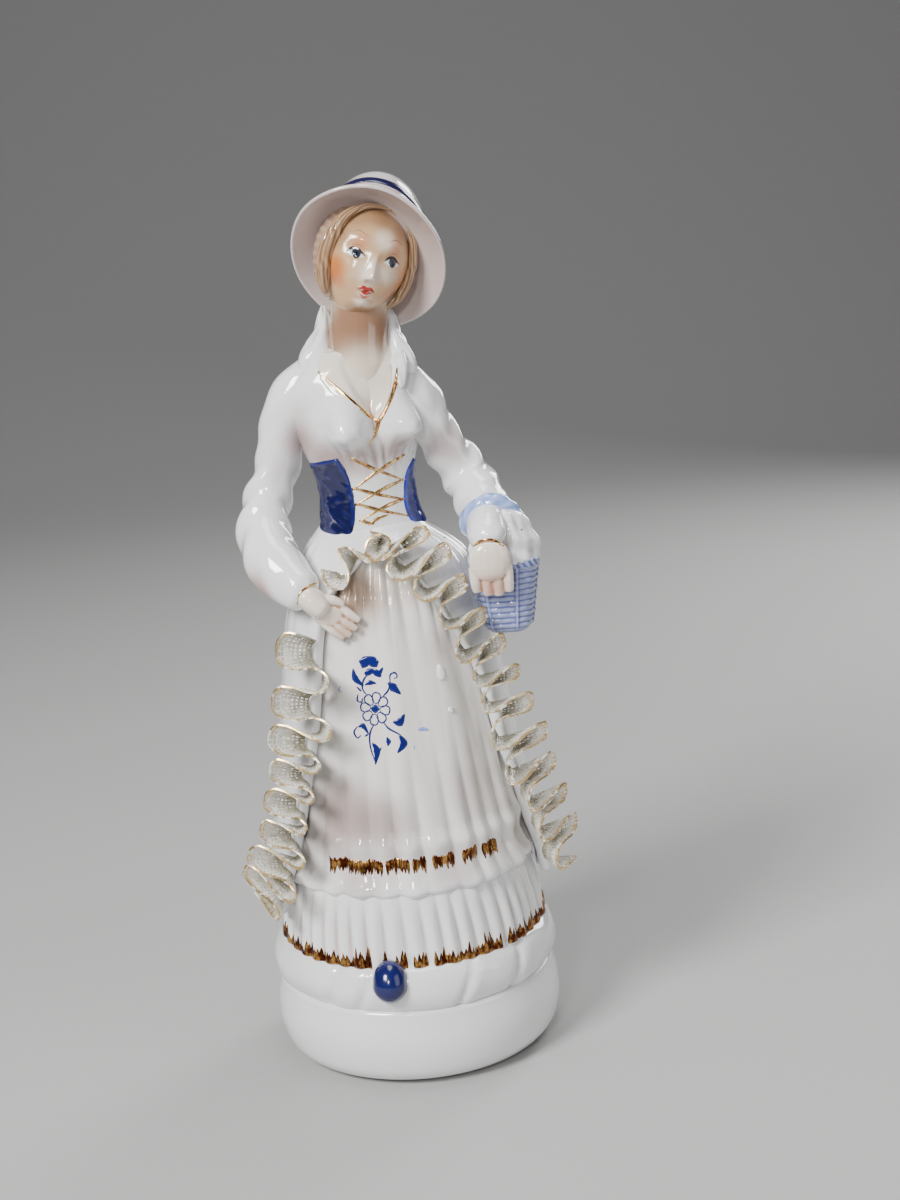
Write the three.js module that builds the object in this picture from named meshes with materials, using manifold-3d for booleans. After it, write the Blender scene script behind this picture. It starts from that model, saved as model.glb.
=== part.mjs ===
// A hollow slip-cast porcelain lady with a bonnet, a laced bodice, a basket on her arm and applied lace, on a round
// plinth. Millimetres, +Z up; she looks along -Y. Each casting is a separate solid, and a slip joint joins them.
import * as THREE from "three";
import { ParametricGeometry } from "three/addons/geometries/ParametricGeometry.js";
import { mergeVertices } from "three/addons/utils/BufferGeometryUtils.js";
import Module from "manifold-3d";

const wasm = await Module();
wasm.setup();

// ---- driving dimensions -------------------------------------------------------------------------------------------
const SLIP_JOINT = 0.3; // gap that the slip fills between two castings
const PLINTH_HEIGHT = 20.7;
const PLINTH_RADIUS = 38.2;
const TIER_BOTTOM = PLINTH_HEIGHT + SLIP_JOINT;
const TIER_TOP = 32;
const SKIRT_FOOT = TIER_TOP + SLIP_JOINT;
const SKIRT_HEM = 50; // hem of the upper tier of the underskirt, over the flounce
const SKIRT_TOP = 139;
const SKIRT_WALL = 3;
const VENT_RADIUS = 20; // the hole that the slip is poured out through, and that lets the kiln gases out
const CAVITY_RADIUS = 25;
const TORSO_TURN = 15; // degrees, towards her left
const HEAD_TURN = 15;
const HEAD_TILT = 20;
const HAT_RISE = 30; // degrees between the bonnet's axis and the horizontal
const LACE_THICKNESS = 0.9;

const TURN = Math.PI * 2;
const radians = THREE.MathUtils.degToRad;

// ---- turning surfaces into solids ---------------------------------------------------------------------------------

// A closed geometry as a manifold-3d solid, whichever way round its faces were wound.
function solidOf(geometry) {
  const bare = geometry.index ? geometry.toNonIndexed() : geometry.clone();
  bare.deleteAttribute("normal");
  bare.deleteAttribute("uv");
  const merged = mergeVertices(bare, 1e-4);
  const corners = [];
  for (let i = 0; i < merged.index.count; i += 3) {
    const [a, b, c] = [0, 1, 2].map((k) => merged.index.getX(i + k));
    if (a !== b && b !== c && a !== c) corners.push([a, b, c]);
  }
  const build = (triangles) =>
    new wasm.Manifold(
      new wasm.Mesh({
        numProp: 3,
        vertProperties: new Float32Array(merged.attributes.position.array),
        triVerts: new Uint32Array(triangles.flat()),
      }),
    );
  const solid = build(corners);
  return solid.volume() > 0 ? solid : build(corners.map(([a, b, c]) => [a, c, b]));
}

function geometryOf(solid) {
  const mesh = solid.getMesh();
  const geometry = new THREE.BufferGeometry();
  geometry.setAttribute("position", new THREE.BufferAttribute(mesh.vertProperties, 3));
  geometry.setIndex(new THREE.BufferAttribute(mesh.triVerts, 1));
  geometry.computeVertexNormals();
  return geometry;
}

// Smooth values at a station between rows of [station, value, value, ...].
function along(rows, at) {
  const last = rows.length - 1;
  if (at <= rows[0][0]) return rows[0].slice(1);
  if (at >= rows[last][0]) return rows[last].slice(1);
  const i = rows.findIndex((row, k) => at < rows[k + 1][0]);
  const [before, from, to, after] = [rows[Math.max(i - 1, 0)], rows[i], rows[i + 1], rows[Math.min(i + 2, last)]];
  const span = to[0] - from[0];
  const t = (at - from[0]) / span;
  return from.slice(1).map((value, k) => {
    const start = ((to[k + 1] - before[k + 1]) / (to[0] - before[0])) * span;
    const end = ((after[k + 1] - value) / (after[0] - from[0])) * span;
    const rise = to[k + 1] - value;
    return value + t * (start + t * (3 * rise - 2 * start - end + t * (start + end - 2 * rise)));
  });
}

// A solid skinned over rings: ring(k, angle) is a point of ring k, and the end rings are closed to their centres.
function skinned(ring, rings, around) {
  const centre = (k) => {
    const sum = new THREE.Vector3();
    for (let i = 0; i < around; i++) sum.add(ring(k, (i / around) * TURN));
    return sum.divideScalar(around);
  };
  const ends = [centre(0), centre(rings - 1)];
  const point = (u, v, target) => {
    const row = Math.round(v * (rings + 1));
    if (row === 0) target.copy(ends[0]);
    else if (row === rings + 1) target.copy(ends[1]);
    else target.copy(ring(row - 1, u * TURN));
  };
  return solidOf(new ParametricGeometry(point, around, rings + 1));
}

// A hollow shell skinned over rings that return to the first one, so that it is open at both ends.
function hollowShell(ring, rings, around) {
  const point = (u, v, target) => target.copy(ring(Math.round(v * rings) % rings, u * TURN));
  return solidOf(new ParametricGeometry(point, around, rings));
}

// A thin curved leaf: middle(s, w) is its middle surface, outward(s, w) its normal, and it thins to nothing at its rim.
function leaf(middle, outward, thickness, acrossSteps, upSteps) {
  const point = (u, v, target) => {
    const outer = u <= 0.5;
    const s = outer ? u * 2 : 2 - u * 2;
    const inside = s > 1e-4 && s < 1 - 1e-4 && v > 1e-4 && v < 1 - 1e-4;
    const half = inside ? thickness / 2 : 0;
    target.copy(middle(s, v)).addScaledVector(outward(s, v), outer ? half : -half);
  };
  return solidOf(new ParametricGeometry(point, acrossSteps * 2, upSteps));
}

// A limb along a smooth line through stations of [x, y, z, radius], flattened by flat across its second direction.
function limb(stations, { around = 14, rings = 10, grow = 0, flat = 1 } = {}) {
  const line = new THREE.CatmullRomCurve3(stations.map(([x, y, z]) => new THREE.Vector3(x, y, z)));
  const frames = line.computeFrenetFrames(rings - 1);
  const radii = stations.map((station, i) => [i / (stations.length - 1), station[3]]);
  return skinned(
    (k, angle) => {
      const t = k / (rings - 1);
      const overrun = k === 0 ? -grow : k === rings - 1 ? grow : 0;
      const radius = along(radii, t)[0] + grow;
      return line
        .getPoint(t)
        .addScaledVector(frames.tangents[k], overrun)
        .addScaledVector(frames.normals[k], Math.cos(angle) * radius)
        .addScaledVector(frames.binormals[k], Math.sin(angle) * (radius - grow) * flat + Math.sin(angle) * grow);
    },
    rings,
    around,
  );
}

function ellipsoid([x, y, z], [rx, ry, rz], { grow = 0, fine = 14, turn = new THREE.Matrix4() } = {}) {
  const ball = new THREE.SphereGeometry(1, fine, Math.round(fine * 0.7)).rotateX(Math.PI / 2);
  ball.scale(rx + grow, ry + grow, rz + grow).applyMatrix4(turn);
  return solidOf(ball.translate(x, y, z));
}

// A ring turned about the upright axis from a profile of [radius, height] that closes on itself.
function turned(profile, segments) {
  const points = [...profile, profile[0]].map(([r, z]) => new THREE.Vector2(r, z));
  return solidOf(new THREE.LatheGeometry(points, segments).rotateX(Math.PI / 2));
}

// ---- plinth -------------------------------------------------------------------------------------------------------

// The lower plinth: a rounded wall on a flat unglazed foot ring, with a top plate and the kiln vent through it.
function plinth() {
  const foot = [28, 31.5];
  const wallTop = 36;
  const plate = PLINTH_HEIGHT - 3.7;
  return turned(
    [
      [foot[0], 0],
      [foot[1], 0],
      [35.2, 1.7],
      [37.4, 5],
      [PLINTH_RADIUS, 10],
      [37.8, 15],
      [37, 18.8],
      [wallTop, PLINTH_HEIGHT],
      [VENT_RADIUS, PLINTH_HEIGHT],
      [VENT_RADIUS, plate],
      [foot[0] - 1.5, plate],
      [foot[0], plate - 2],
    ],
    40,
  );
}

const TIER_PROFILE = [
  [36.6, TIER_BOTTOM],
  [37.7, 23],
  [38, 25.8],
  [37.4, 29],
  [36.2, 31.2],
  [34.6, TIER_TOP],
];

// The upper tier, the ground that she stands on; grown, it is the cutter that seats the shoe.
function groundTier(grow = 0) {
  const outside = TIER_PROFILE.map(([r, z], i) => [r + grow, z + (i === TIER_PROFILE.length - 1 ? grow : 0)]);
  return turned([[CAVITY_RADIUS, TIER_BOTTOM], ...outside, [CAVITY_RADIUS, TIER_TOP + grow]], 40);
}

function shoeTip() {
  const toe = limb(
    [
      [-5.8, -33, 34.6, 3],
      [-6, -35, 33, 3.7],
      [-6.2, -37, 29.6, 3.8],
      [-6.4, -38.4, 25.6, 2.8],
    ],
    { around: 14, rings: 8 },
  );
  return toe.subtract(groundTier(SLIP_JOINT)).subtract(flounce(SLIP_JOINT));
}

// ---- skirts -------------------------------------------------------------------------------------------------------

// Rows of [height, half-width, half-depth] of the underskirt, and of the overskirt that lies over it.
const UNDERSKIRT = [
  [SKIRT_HEM, 33.4, 32.2],
  [57, 31.8, 30.6],
  [70, 30, 28.4],
  [85, 27.8, 26],
  [100, 25.4, 23.4],
  [115, 23, 20.6],
  [125, 20.6, 18.2],
  [132, 17, 15],
  [136, 13.6, 12],
  [SKIRT_TOP, 12, 10.6],
];
const OVERSKIRT = [
  [40, 38, 37.6],
  [50, 37.2, 36.8],
  [60, 35.4, 35.2],
  [80, 32.2, 31.4],
  [100, 29.4, 28],
  [115, 27, 25.2],
  [125, 24.8, 22.6],
  [131, 23.4, 20.4],
  [135.5, 21.6, 17.8],
  [138, 18.8, 15.2],
  [139.6, 16.2, 12.8],
];
const PLEATS = 24;
const PLEAT_DEPTH = 0.7;

// A point at an angle from the front, towards her left, on an oval of the given half-width and half-depth.
function onOval(angle, halfWidth, halfDepth, height, grow = 0) {
  const [x, y] = [Math.sin(angle), -Math.cos(angle)];
  const reach = 1 / Math.hypot(x / halfWidth, y / halfDepth) + grow;
  return new THREE.Vector3(x * reach, y * reach, height);
}

function underskirt(grow = 0) {
  const footRadius = 28.4;
  const heights = [SKIRT_FOOT, SKIRT_HEM - 0.4, SKIRT_HEM, 62, 76, 92, 108, 120, 128, 134, SKIRT_TOP];
  const insides = [SKIRT_TOP, 126, 95, SKIRT_HEM, SKIRT_FOOT];
  return hollowShell(
    (k, angle) => {
      if (k < 2) return onOval(angle, footRadius, footRadius, heights[k], grow);
      if (k < heights.length) {
        const z = heights[k];
        const fade = THREE.MathUtils.smoothstep(SKIRT_TOP - z, 0, 30);
        return onOval(angle, ...along(UNDERSKIRT, z), z, grow + PLEAT_DEPTH * fade * Math.cos(angle * PLEATS));
      }
      const z = insides[k - heights.length];
      if (z === SKIRT_FOOT) return onOval(angle, CAVITY_RADIUS, CAVITY_RADIUS, z);
      const wall = z === SKIRT_HEM ? -SKIRT_WALL - 4 : -SKIRT_WALL;
      return onOval(angle, ...along(UNDERSKIRT, z), z, wall);
    },
    heights.length + insides.length,
    PLEATS * 2,
  );
}

// The gathered frill under the hem of the underskirt.
function flounce(grow = 0) {
  const folds = 30;
  const top = SKIRT_HEM - 0.7;
  const outside = [
    [SKIRT_FOOT - grow, 34.4, 0.7],
    [SKIRT_FOOT + 1.5, 34.6, 0.7],
    [40, 33.6, 0.6],
    [46, 32.2, 0.4],
    [top, 31.2, 0.1],
  ];
  const inner = 28.4 + SLIP_JOINT;
  return hollowShell(
    (k, angle) => {
      if (k < outside.length) {
        const [z, radius, depth] = outside[k];
        return onOval(angle, radius, radius - 0.4, z, grow + depth * Math.cos(angle * folds));
      }
      return onOval(angle, inner, inner, k === outside.length ? top : SKIRT_FOOT - grow);
    },
    outside.length + 2,
    folds * 2,
  );
}

// The front edges of the overskirt: rows of [height, degrees round from the front] on her left and on her right.
const LEFT_EDGE = [
  [42, 86],
  [55, 82],
  [68, 75],
  [80, 66],
  [95, 61],
  [106, 55],
  [116, 43],
  [126, 32],
  [134, 18],
  [140, 6],
];
const RIGHT_EDGE = [
  [42, 66],
  [55, 58],
  [75, 50],
  [95, 44],
  [115, 43],
  [125, 40],
  [133, 22],
  [140, -4],
];
const OVERSKIRT_HEM = 42;
const OVERSKIRT_TOP = 139.6;
const OVERSKIRT_THICKNESS = 2;

function overskirtPoint(angle, z, grow = 0) {
  return onOval(angle, ...along(OVERSKIRT, z), z, grow);
}

function overskirt() {
  const drapes = 8;
  const place = (s, w) => {
    const z = THREE.MathUtils.lerp(OVERSKIRT_HEM, OVERSKIRT_TOP, w);
    const from = radians(along(LEFT_EDGE, z)[0]);
    const to = TURN - radians(along(RIGHT_EDGE, z)[0]);
    return [THREE.MathUtils.lerp(from, to, s), z];
  };
  return leaf(
    (s, w) => {
      const [angle, z] = place(s, w);
      const drape = 0.5 * Math.sin(s * Math.PI) * (1 - w) * Math.cos(s * drapes * TURN);
      return overskirtPoint(angle, z, drape - OVERSKIRT_THICKNESS / 2);
    },
    (s, w) => {
      const [angle] = place(s, w);
      return new THREE.Vector3(Math.sin(angle), -Math.cos(angle), 0);
    },
    OVERSKIRT_THICKNESS,
    24,
    10,
  );
}

// ---- applied lace -------------------------------------------------------------------------------------------------

// A lace strip stands on its edge along a line on the skirt and winds from side to side in round ruffles.
const LACE_STRIPS = {
  lace_left: {
    line: [
      [9, 138],
      [21, 133],
      [33, 126],
      [43, 115.5],
      [55, 105],
      [60, 95],
      [64, 83],
      [71, 72],
      [78, 60],
      [83, 48],
    ],
    ruffles: 9,
    height: 7.6,
    sway: 4.6,
  },
  lace_right: {
    line: [
      [-42, 114],
      [-43, 99],
      [-46, 86],
      [-50, 75],
      [-53.5, 65],
      [-58, 54],
      [-65, 46],
    ],
    ruffles: 7,
    height: 8.4,
    sway: 5,
  },
  lace_waist: {
    line: [
      [-31, 131.5],
      [-15, 134.5],
      [0, 138.5],
    ],
    ruffles: 1.5,
    height: 6,
    sway: 2.4,
  },
};

function laceStrip({ line, ruffles, height, sway }) {
  const route = new THREE.SplineCurve(line.map(([degrees, z]) => new THREE.Vector2(degrees, z)));
  const base = (t) => {
    const { x: degrees, y: z } = route.getPoint(THREE.MathUtils.clamp(t, 0, 1));
    return overskirtPoint(radians(degrees), z, 1.1);
  };
  const frame = (t) => {
    const forward = base(t + 0.01).sub(base(t - 0.01)).normalize();
    const { x: degrees } = route.getPoint(THREE.MathUtils.clamp(t, 0, 1));
    const outward = new THREE.Vector3(Math.sin(radians(degrees)), -Math.cos(radians(degrees)), 0.25).normalize();
    const aside = new THREE.Vector3().crossVectors(forward, outward).normalize();
    return { forward, outward, aside };
  };
  const middle = (s, w) => {
    const { forward, outward, aside } = frame(s);
    const wave = s * ruffles * TURN;
    const swing = sway * (0.35 + 0.65 * w);
    return base(s)
      .addScaledVector(outward, 0.8 + w * (height - 1.4))
      .addScaledVector(aside, swing * Math.sin(wave))
      .addScaledVector(forward, 0.18 * swing * Math.sin(2 * wave));
  };
  const outward = (s, w) => {
    const ribbon = middle(s + 0.002, w).sub(middle(s - 0.002, w));
    return ribbon.cross(frame(s).outward).normalize();
  };
  return leaf(middle, outward, LACE_THICKNESS, ruffles * 12, 2);
}

// ---- bodice, sleeves and hands ------------------------------------------------------------------------------------

// Rows of [height, half-width, half-depth, centre x, centre y].
const BODICE = [
  [139.9, 13.8, 10.6, -1.4, 0],
  [144, 12.9, 9.9, -2, 0],
  [150, 12.3, 9.5, -2.2, 0],
  [156, 13.4, 10.2, -2.5, 0],
  [162, 15.2, 10.8, -2.9, 0],
  [168, 16.4, 10.8, -3.2, 0.2],
  [174, 17, 9.9, -3.3, 0.6],
  [179, 16, 9, -2.9, 0.8],
  [183, 13.2, 8.2, -2.2, 0.8],
  [187.5, 9.6, 7.4, -1.5, 0.8],
];

function bodice() {
  const heights = [OVERSKIRT_TOP + SLIP_JOINT, 144, 149, 154, 158, 162, 166, 170, 174, 178, 181, 184.5, 187.5];
  const bust = { angle: 33, height: 164, depth: 3, spread: 24, rise: 6 };
  const upright = new THREE.Vector3(0, 0, 1);
  const torso = skinned(
    (k, angle) => {
      const z = heights[k];
      const [halfWidth, halfDepth, x, y] = along(BODICE, z);
      const off = THREE.MathUtils.radToDeg(Math.atan2(Math.sin(angle), Math.cos(angle)));
      const near = Math.exp(-(((Math.abs(off) - bust.angle) / bust.spread) ** 2) - ((z - bust.height) / bust.rise) ** 2);
      return onOval(angle, halfWidth, halfDepth, z, bust.depth * near)
        .applyAxisAngle(upright, radians(TORSO_TURN))
        .add(new THREE.Vector3(x, y, 0));
    },
    heights.length,
    24,
  );
  const plug = solidOf(new THREE.CylinderGeometry(7, 6.5, 8, 24).rotateX(Math.PI / 2).translate(0, 0, 136.2));
  const collar = limb(
    [
      [-12.4, -6.5, 180.6, 2.4],
      [-12, 1.5, 184.5, 2.8],
      [-7.5, 7.4, 188, 2.9],
      [-1, 9, 189, 2.9],
      [5.2, 7.4, 188, 2.9],
      [9, 1, 184.4, 2.8],
      [8.6, -7, 180.4, 2.4],
    ],
    { around: 10, rings: 14 },
  );
  return torso.add(plug).add(collar).subtract(neck(SLIP_JOINT)).subtract(napeHair(SLIP_JOINT));
}

function rightSleeve(grow = 0) {
  return limb(
    [
      [-14, 0.6, 179.4, 4.2],
      [-18.6, 0.8, 174.6, 7],
      [-22, 1.5, 167, 6.4],
      [-25, 1.8, 157, 5.8],
      [-28.6, 0, 147, 6.4],
      [-29.6, -4, 140.5, 7.1],
      [-26.8, -11, 134, 7.2],
      [-21.8, -17.6, 129.4, 5.8],
      [-17.8, -21.6, 126.8, 4.6],
    ],
    { around: 16, rings: 13, grow },
  );
}

function leftSleeve(grow = 0) {
  return limb(
    [
      [8, 0.6, 177.4, 4.2],
      [11.6, 0.8, 172.6, 6.8],
      [15, 1.5, 165.6, 6],
      [19.3, 2.5, 157.5, 5.9],
      [24, 2, 150, 6.8],
      [26.8, -4, 144.5, 6.8],
      [27.6, -11, 141.6, 5.9],
      [27.3, -18, 140.8, 5],
      [27, -23, 138.6, 4.5],
      [27, -25, 136.4, 4.1],
    ],
    { around: 16, rings: 13, grow },
  );
}

function withFingers(palm, fingers, grow) {
  const joined = (hand, finger) => hand.add(limb(finger, { around: 7, rings: 5, grow }));
  return fingers.reduce(joined, palm);
}

function rightHand(grow = 0) {
  const lean = new THREE.Matrix4().makeRotationY(radians(40));
  const palm = ellipsoid([-14.2, -20.4, 122.9], [5.4, 2.3, 4], { grow, turn: lean });
  const tips = [
    [-15.6, 120.4, -10.6, 115.6],
    [-14, 121.2, -8.8, 116.2],
    [-12.6, 122.4, -7.2, 117.7],
    [-11.4, 124, -6.2, 119.9],
  ];
  const fingers = tips.map(([x0, z0, x1, z1]) => [
    [x0, -20.4, z0, 1.35],
    [(x0 + x1) / 2, -21, (z0 + z1) / 2, 1.25],
    [x1, -21, z1, 0.9],
  ]);
  const thumb = [
    [-15, -21.4, 126, 1.4],
    [-12.4, -21.6, 125.9, 1.3],
    [-9.8, -21, 124.4, 0.9],
  ];
  return withFingers(palm, [...fingers, thumb], grow).subtract(rightSleeve(SLIP_JOINT));
}

function leftHand(grow = 0) {
  const palm = ellipsoid([27.2, -26, 133.4], [4.4, 2.4, 5], { grow });
  const fingers = [0, 1, 2, 3].map((i) => {
    const x = 24 + 2.2 * i;
    const droop = [1.2, 0.2, 0, 0.8][i];
    return [
      [x, -25.6, 132, 1.3],
      [x + 0.1, -25.4, 128.4, 1.25],
      [x + 0.2, -24.6, 124.8 + droop, 0.95],
    ];
  });
  return withFingers(palm, fingers, grow).subtract(leftSleeve(SLIP_JOINT));
}

// ---- head, hair and hat -------------------------------------------------------------------------------------------

const HEAD_CENTRE = new THREE.Vector3(2.3, -2, 207.8);
const headPose = new THREE.Matrix4()
  .makeTranslation(HEAD_CENTRE)
  .multiply(new THREE.Matrix4().makeRotationY(radians(HEAD_TILT)))
  .multiply(new THREE.Matrix4().makeRotationZ(radians(HEAD_TURN)));

function neck(grow = 0) {
  return limb(
    [
      [-1.6, 0.6, 181, 6.4],
      [-1.2, 0.2, 187, 6],
      [-0.6, -0.4, 192, 5.6],
      [0.6, -0.8, 198, 5.6],
    ],
    { around: 16, rings: 6, grow },
  );
}

// The skull and jaw, in the head's own frame: the face looks along -Y.
function skull(grow = 0) {
  const [halfWidth, halfDepth, halfHeight] = [8.5, 9.6, 12.7];
  const rows = 13;
  return skinned(
    (k, angle) => {
      const polar = ((k + 1) / (rows + 1)) * Math.PI;
      const down = -Math.cos(polar);
      const jaw = 1 - 0.2 * THREE.MathUtils.smoothstep(-down, 0.15, 1);
      const ring = Math.sin(polar) * jaw;
      const point = new THREE.Vector3(
        Math.sin(angle) * ring * (halfWidth + grow),
        -Math.cos(angle) * Math.sin(polar) * (halfDepth + grow),
        down * (halfHeight + grow),
      );
      return point.applyMatrix4(headPose);
    },
    rows,
    20,
  );
}

function head() {
  const nose = ellipsoid([0, -9.5, -1.8], [1.3, 1.9, 2.4], { fine: 8, turn: new THREE.Matrix4() });
  return skull().add(neck()).add(nose.transform(headPose.elements.slice()));
}

// The bonnet's ties, which fall from the sides of the brim over the edge of the collar.
function rightTie(grow = 0) {
  return limb(
    [
      [-11.4, 1.4, 201.6, 1.6],
      [-10.4, 1, 196.6, 2.7],
      [-10.2, -0.6, 191, 2.5],
      [-12.4, -4, 186.4, 2.2],
      [-13.4, -7.6, 180.6, 1.4],
    ],
    { around: 12, rings: 8, grow },
  );
}

function leftTie(grow = 0) {
  return limb(
    [
      [11, 1.6, 196.6, 1.6],
      [9, 1.4, 193.2, 2.6],
      [7.4, -0.2, 189.4, 2.4],
      [8.6, -3.8, 185, 2.1],
      [9.6, -7.4, 179.6, 1.4],
    ],
    { around: 12, rings: 8, grow },
  );
}

function napeHair(grow = 0) {
  return ellipsoid([-0.4, 6, 196], [8, 4.6, 6.4], { grow });
}

function hairCap(grow = 0) {
  const cap = ellipsoid([0, 1.8, 1], [10.2, 10, 12.9], { grow, fine: 20 });
  return cap.transform(headPose.elements.slice());
}

function hair() {
  const window = ellipsoid([0, -9.5, -3], [7.6, 9, 12.6], { fine: 16 });
  return hairCap()
    .add(napeHair())
    .subtract(window.transform(headPose.elements.slice()))
    .subtract(skull(SLIP_JOINT))
    .subtract(neck(SLIP_JOINT));
}

// The bonnet: a deep crown with a rounded top, and a brim that flares round the face.
function hat() {
  const outside = [
    [0, 24.2],
    [6, 23.4],
    [10, 20.8],
    [12.6, 16.8],
    [13.8, 11.5],
    [14.2, 7.6],
    [16.2, 4.4],
    [18.8, 1.4],
    [19.6, 0],
  ];
  const inside = [
    [18.6, 0],
    [15.6, 2.8],
    [13, 6],
    [12.5, 11],
    [11.4, 16],
    [8.6, 19.9],
    [0, 22.2],
  ];
  const points = [...outside, ...inside].map(([r, depth]) => new THREE.Vector2(r, depth));
  const shell = new THREE.LatheGeometry(points, 32).rotateX(Math.PI / 2);
  const upright = new THREE.Matrix4().makeScale(1, 1.07, 1);
  const slant = new THREE.Matrix4().makeShear(0, 0, 0, 0, 0, -0.12).multiply(upright);
  shell.applyMatrix4(slant).rotateX(-radians(90 - HAT_RISE)).rotateZ(-radians(HEAD_TURN)).translate(3.2, -3.4, 208.2);
  const throatGap = ellipsoid([-0.8, -2, 188.6], [11.4, 20, 9.4], { fine: 20 });
  return solidOf(shell)
    .subtract(hairCap(SLIP_JOINT))
    .subtract(napeHair(SLIP_JOINT))
    .subtract(neck(SLIP_JOINT))
    .subtract(throatGap);
}

// ---- basket -------------------------------------------------------------------------------------------------------

const BASKET_CENTRE = [31, -14.6];

function basketBody(grow = 0) {
  const rows = [
    [113, 4.4, 4],
    [114.6, 6, 5.4],
    [119, 6.8, 6.2],
    [125, 7.9, 7.1],
    [129.6, 8.7, 7.7],
    [130.4, 9.3, 8.2],
    [131.8, 9.3, 8.2],
    [132.2, 8.4, 7.4],
    [130.6, 7.6, 6.6],
  ];
  return skinned(
    (k, angle) => {
      const [z, halfWidth, halfDepth] = rows[k];
      const squared = 0.06 * Math.cos(4 * angle + Math.PI) * halfWidth;
      const [x, y] = BASKET_CENTRE;
      const inside = k >= rows.length - 2;
      const reach = squared + (inside ? -grow : grow);
      return onOval(angle, halfWidth, halfDepth, z + (inside ? grow : 0), reach).add(new THREE.Vector3(x, y, 0));
    },
    rows.length,
    24,
  );
}

function basketHandle(grow = 0) {
  const arch = [
    [23.2, -11.6, 133.2, 1.3],
    [21.2, -12.4, 138.4, 1.3],
    [23, -13.4, 143.2, 1.3],
    [29, -13.8, 146.4, 1.3],
    [34.4, -13.4, 142.4, 1.3],
    [37, -13, 138.4, 1.3],
    [38, -12.8, 133.2, 1.3],
  ];
  return limb(arch, { around: 8, rings: 17, grow, flat: 1.8 });
}

function basketCloth() {
  const mound = ellipsoid([31.2, -14.8, 131.4], [7, 6, 3.6], { fine: 16 });
  const rise = ellipsoid([33.2, -15.4, 135.6], [5.4, 5, 8], { fine: 14 });
  return mound
    .add(rise)
    .subtract(basketBody(SLIP_JOINT))
    .subtract(leftSleeve(SLIP_JOINT))
    .subtract(leftHand(SLIP_JOINT))
    .subtract(basketHandle(SLIP_JOINT));
}

// ---- finishes and assembly ----------------------------------------------------------------------------------------

const finish = (color, roughness, metalness = 0) => new THREE.MeshStandardMaterial({ color, roughness, metalness });
const WHITE_GLAZE = finish(0xf1efec, 0.1);
const COBALT_GLAZE = finish(0x1c2a8c, 0.1);
const PALE_BLUE_GLAZE = finish(0x9fb0dd, 0.12);
const FLESH_GLAZE = finish(0xf0dccb, 0.14);
const HAIR_GLAZE = finish(0xd9c6ac, 0.16);
const LACE_BISQUE = finish(0xe2ddd0, 0.55);

const figurine = new THREE.Group();

function cast(name, solid, material) {
  const mesh = new THREE.Mesh(geometryOf(solid), material);
  mesh.name = name;
  figurine.add(mesh);
}

cast("plinth", plinth(), WHITE_GLAZE);
cast("ground_tier", groundTier(), WHITE_GLAZE);
cast("shoe_tip", shoeTip(), COBALT_GLAZE);
cast("underskirt", underskirt(), WHITE_GLAZE);
cast("flounce", flounce(), WHITE_GLAZE);
cast("overskirt", overskirt().subtract(rightSleeve(SLIP_JOINT)), WHITE_GLAZE);
const hairSet = hairCap(SLIP_JOINT).add(napeHair(SLIP_JOINT));
const tieSeats = rightTie(SLIP_JOINT).add(leftTie(SLIP_JOINT));
const armSeats = rightSleeve(SLIP_JOINT).add(leftSleeve(SLIP_JOINT));
cast("bodice", bodice().subtract(armSeats).subtract(tieSeats), WHITE_GLAZE);
cast("right_sleeve", rightSleeve().subtract(tieSeats), WHITE_GLAZE);
cast("left_sleeve", leftSleeve().subtract(basketHandle(SLIP_JOINT)).subtract(tieSeats), WHITE_GLAZE);
cast("right_hand", rightHand(), FLESH_GLAZE);
cast("left_hand", leftHand(), FLESH_GLAZE);
cast("head", head(), FLESH_GLAZE);
cast("hair", hair(), HAIR_GLAZE);
cast("hat", hat().subtract(rightTie(SLIP_JOINT)).subtract(leftTie(SLIP_JOINT)), WHITE_GLAZE);
cast("right_tie", rightTie().subtract(neck(SLIP_JOINT)).subtract(hairSet), WHITE_GLAZE);
cast("left_tie", leftTie().subtract(neck(SLIP_JOINT)).subtract(hairSet), WHITE_GLAZE);
cast("basket_body", basketBody(), PALE_BLUE_GLAZE);
cast("basket_handle", basketHandle(), PALE_BLUE_GLAZE);
cast("basket_cloth", basketCloth(), WHITE_GLAZE);
for (const [name, strip] of Object.entries(LACE_STRIPS)) {
  cast(name, laceStrip(strip).subtract(basketBody(SLIP_JOINT)), LACE_BISQUE);
}

// The origin is under the middle of the whole figurine, on the surface that it stands on.
const middle = new THREE.Box3().setFromObject(figurine).getCenter(new THREE.Vector3());
figurine.position.set(-middle.x, -middle.y, 0);

export default figurine;
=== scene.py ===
"""A glazed porcelain lady with a bonnet, a laced bodice, a basket and applied lace, on a round plinth."""

import logging
import math
from collections.abc import Callable, Sequence
from dataclasses import dataclass, field
from enum import Enum

import bpy
import numpy as np
from bpy.types import Material, Node, NodeSocket, NodeTree, Object
from mathutils import Matrix, Vector
from mathutils.bvhtree import BVHTree


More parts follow.
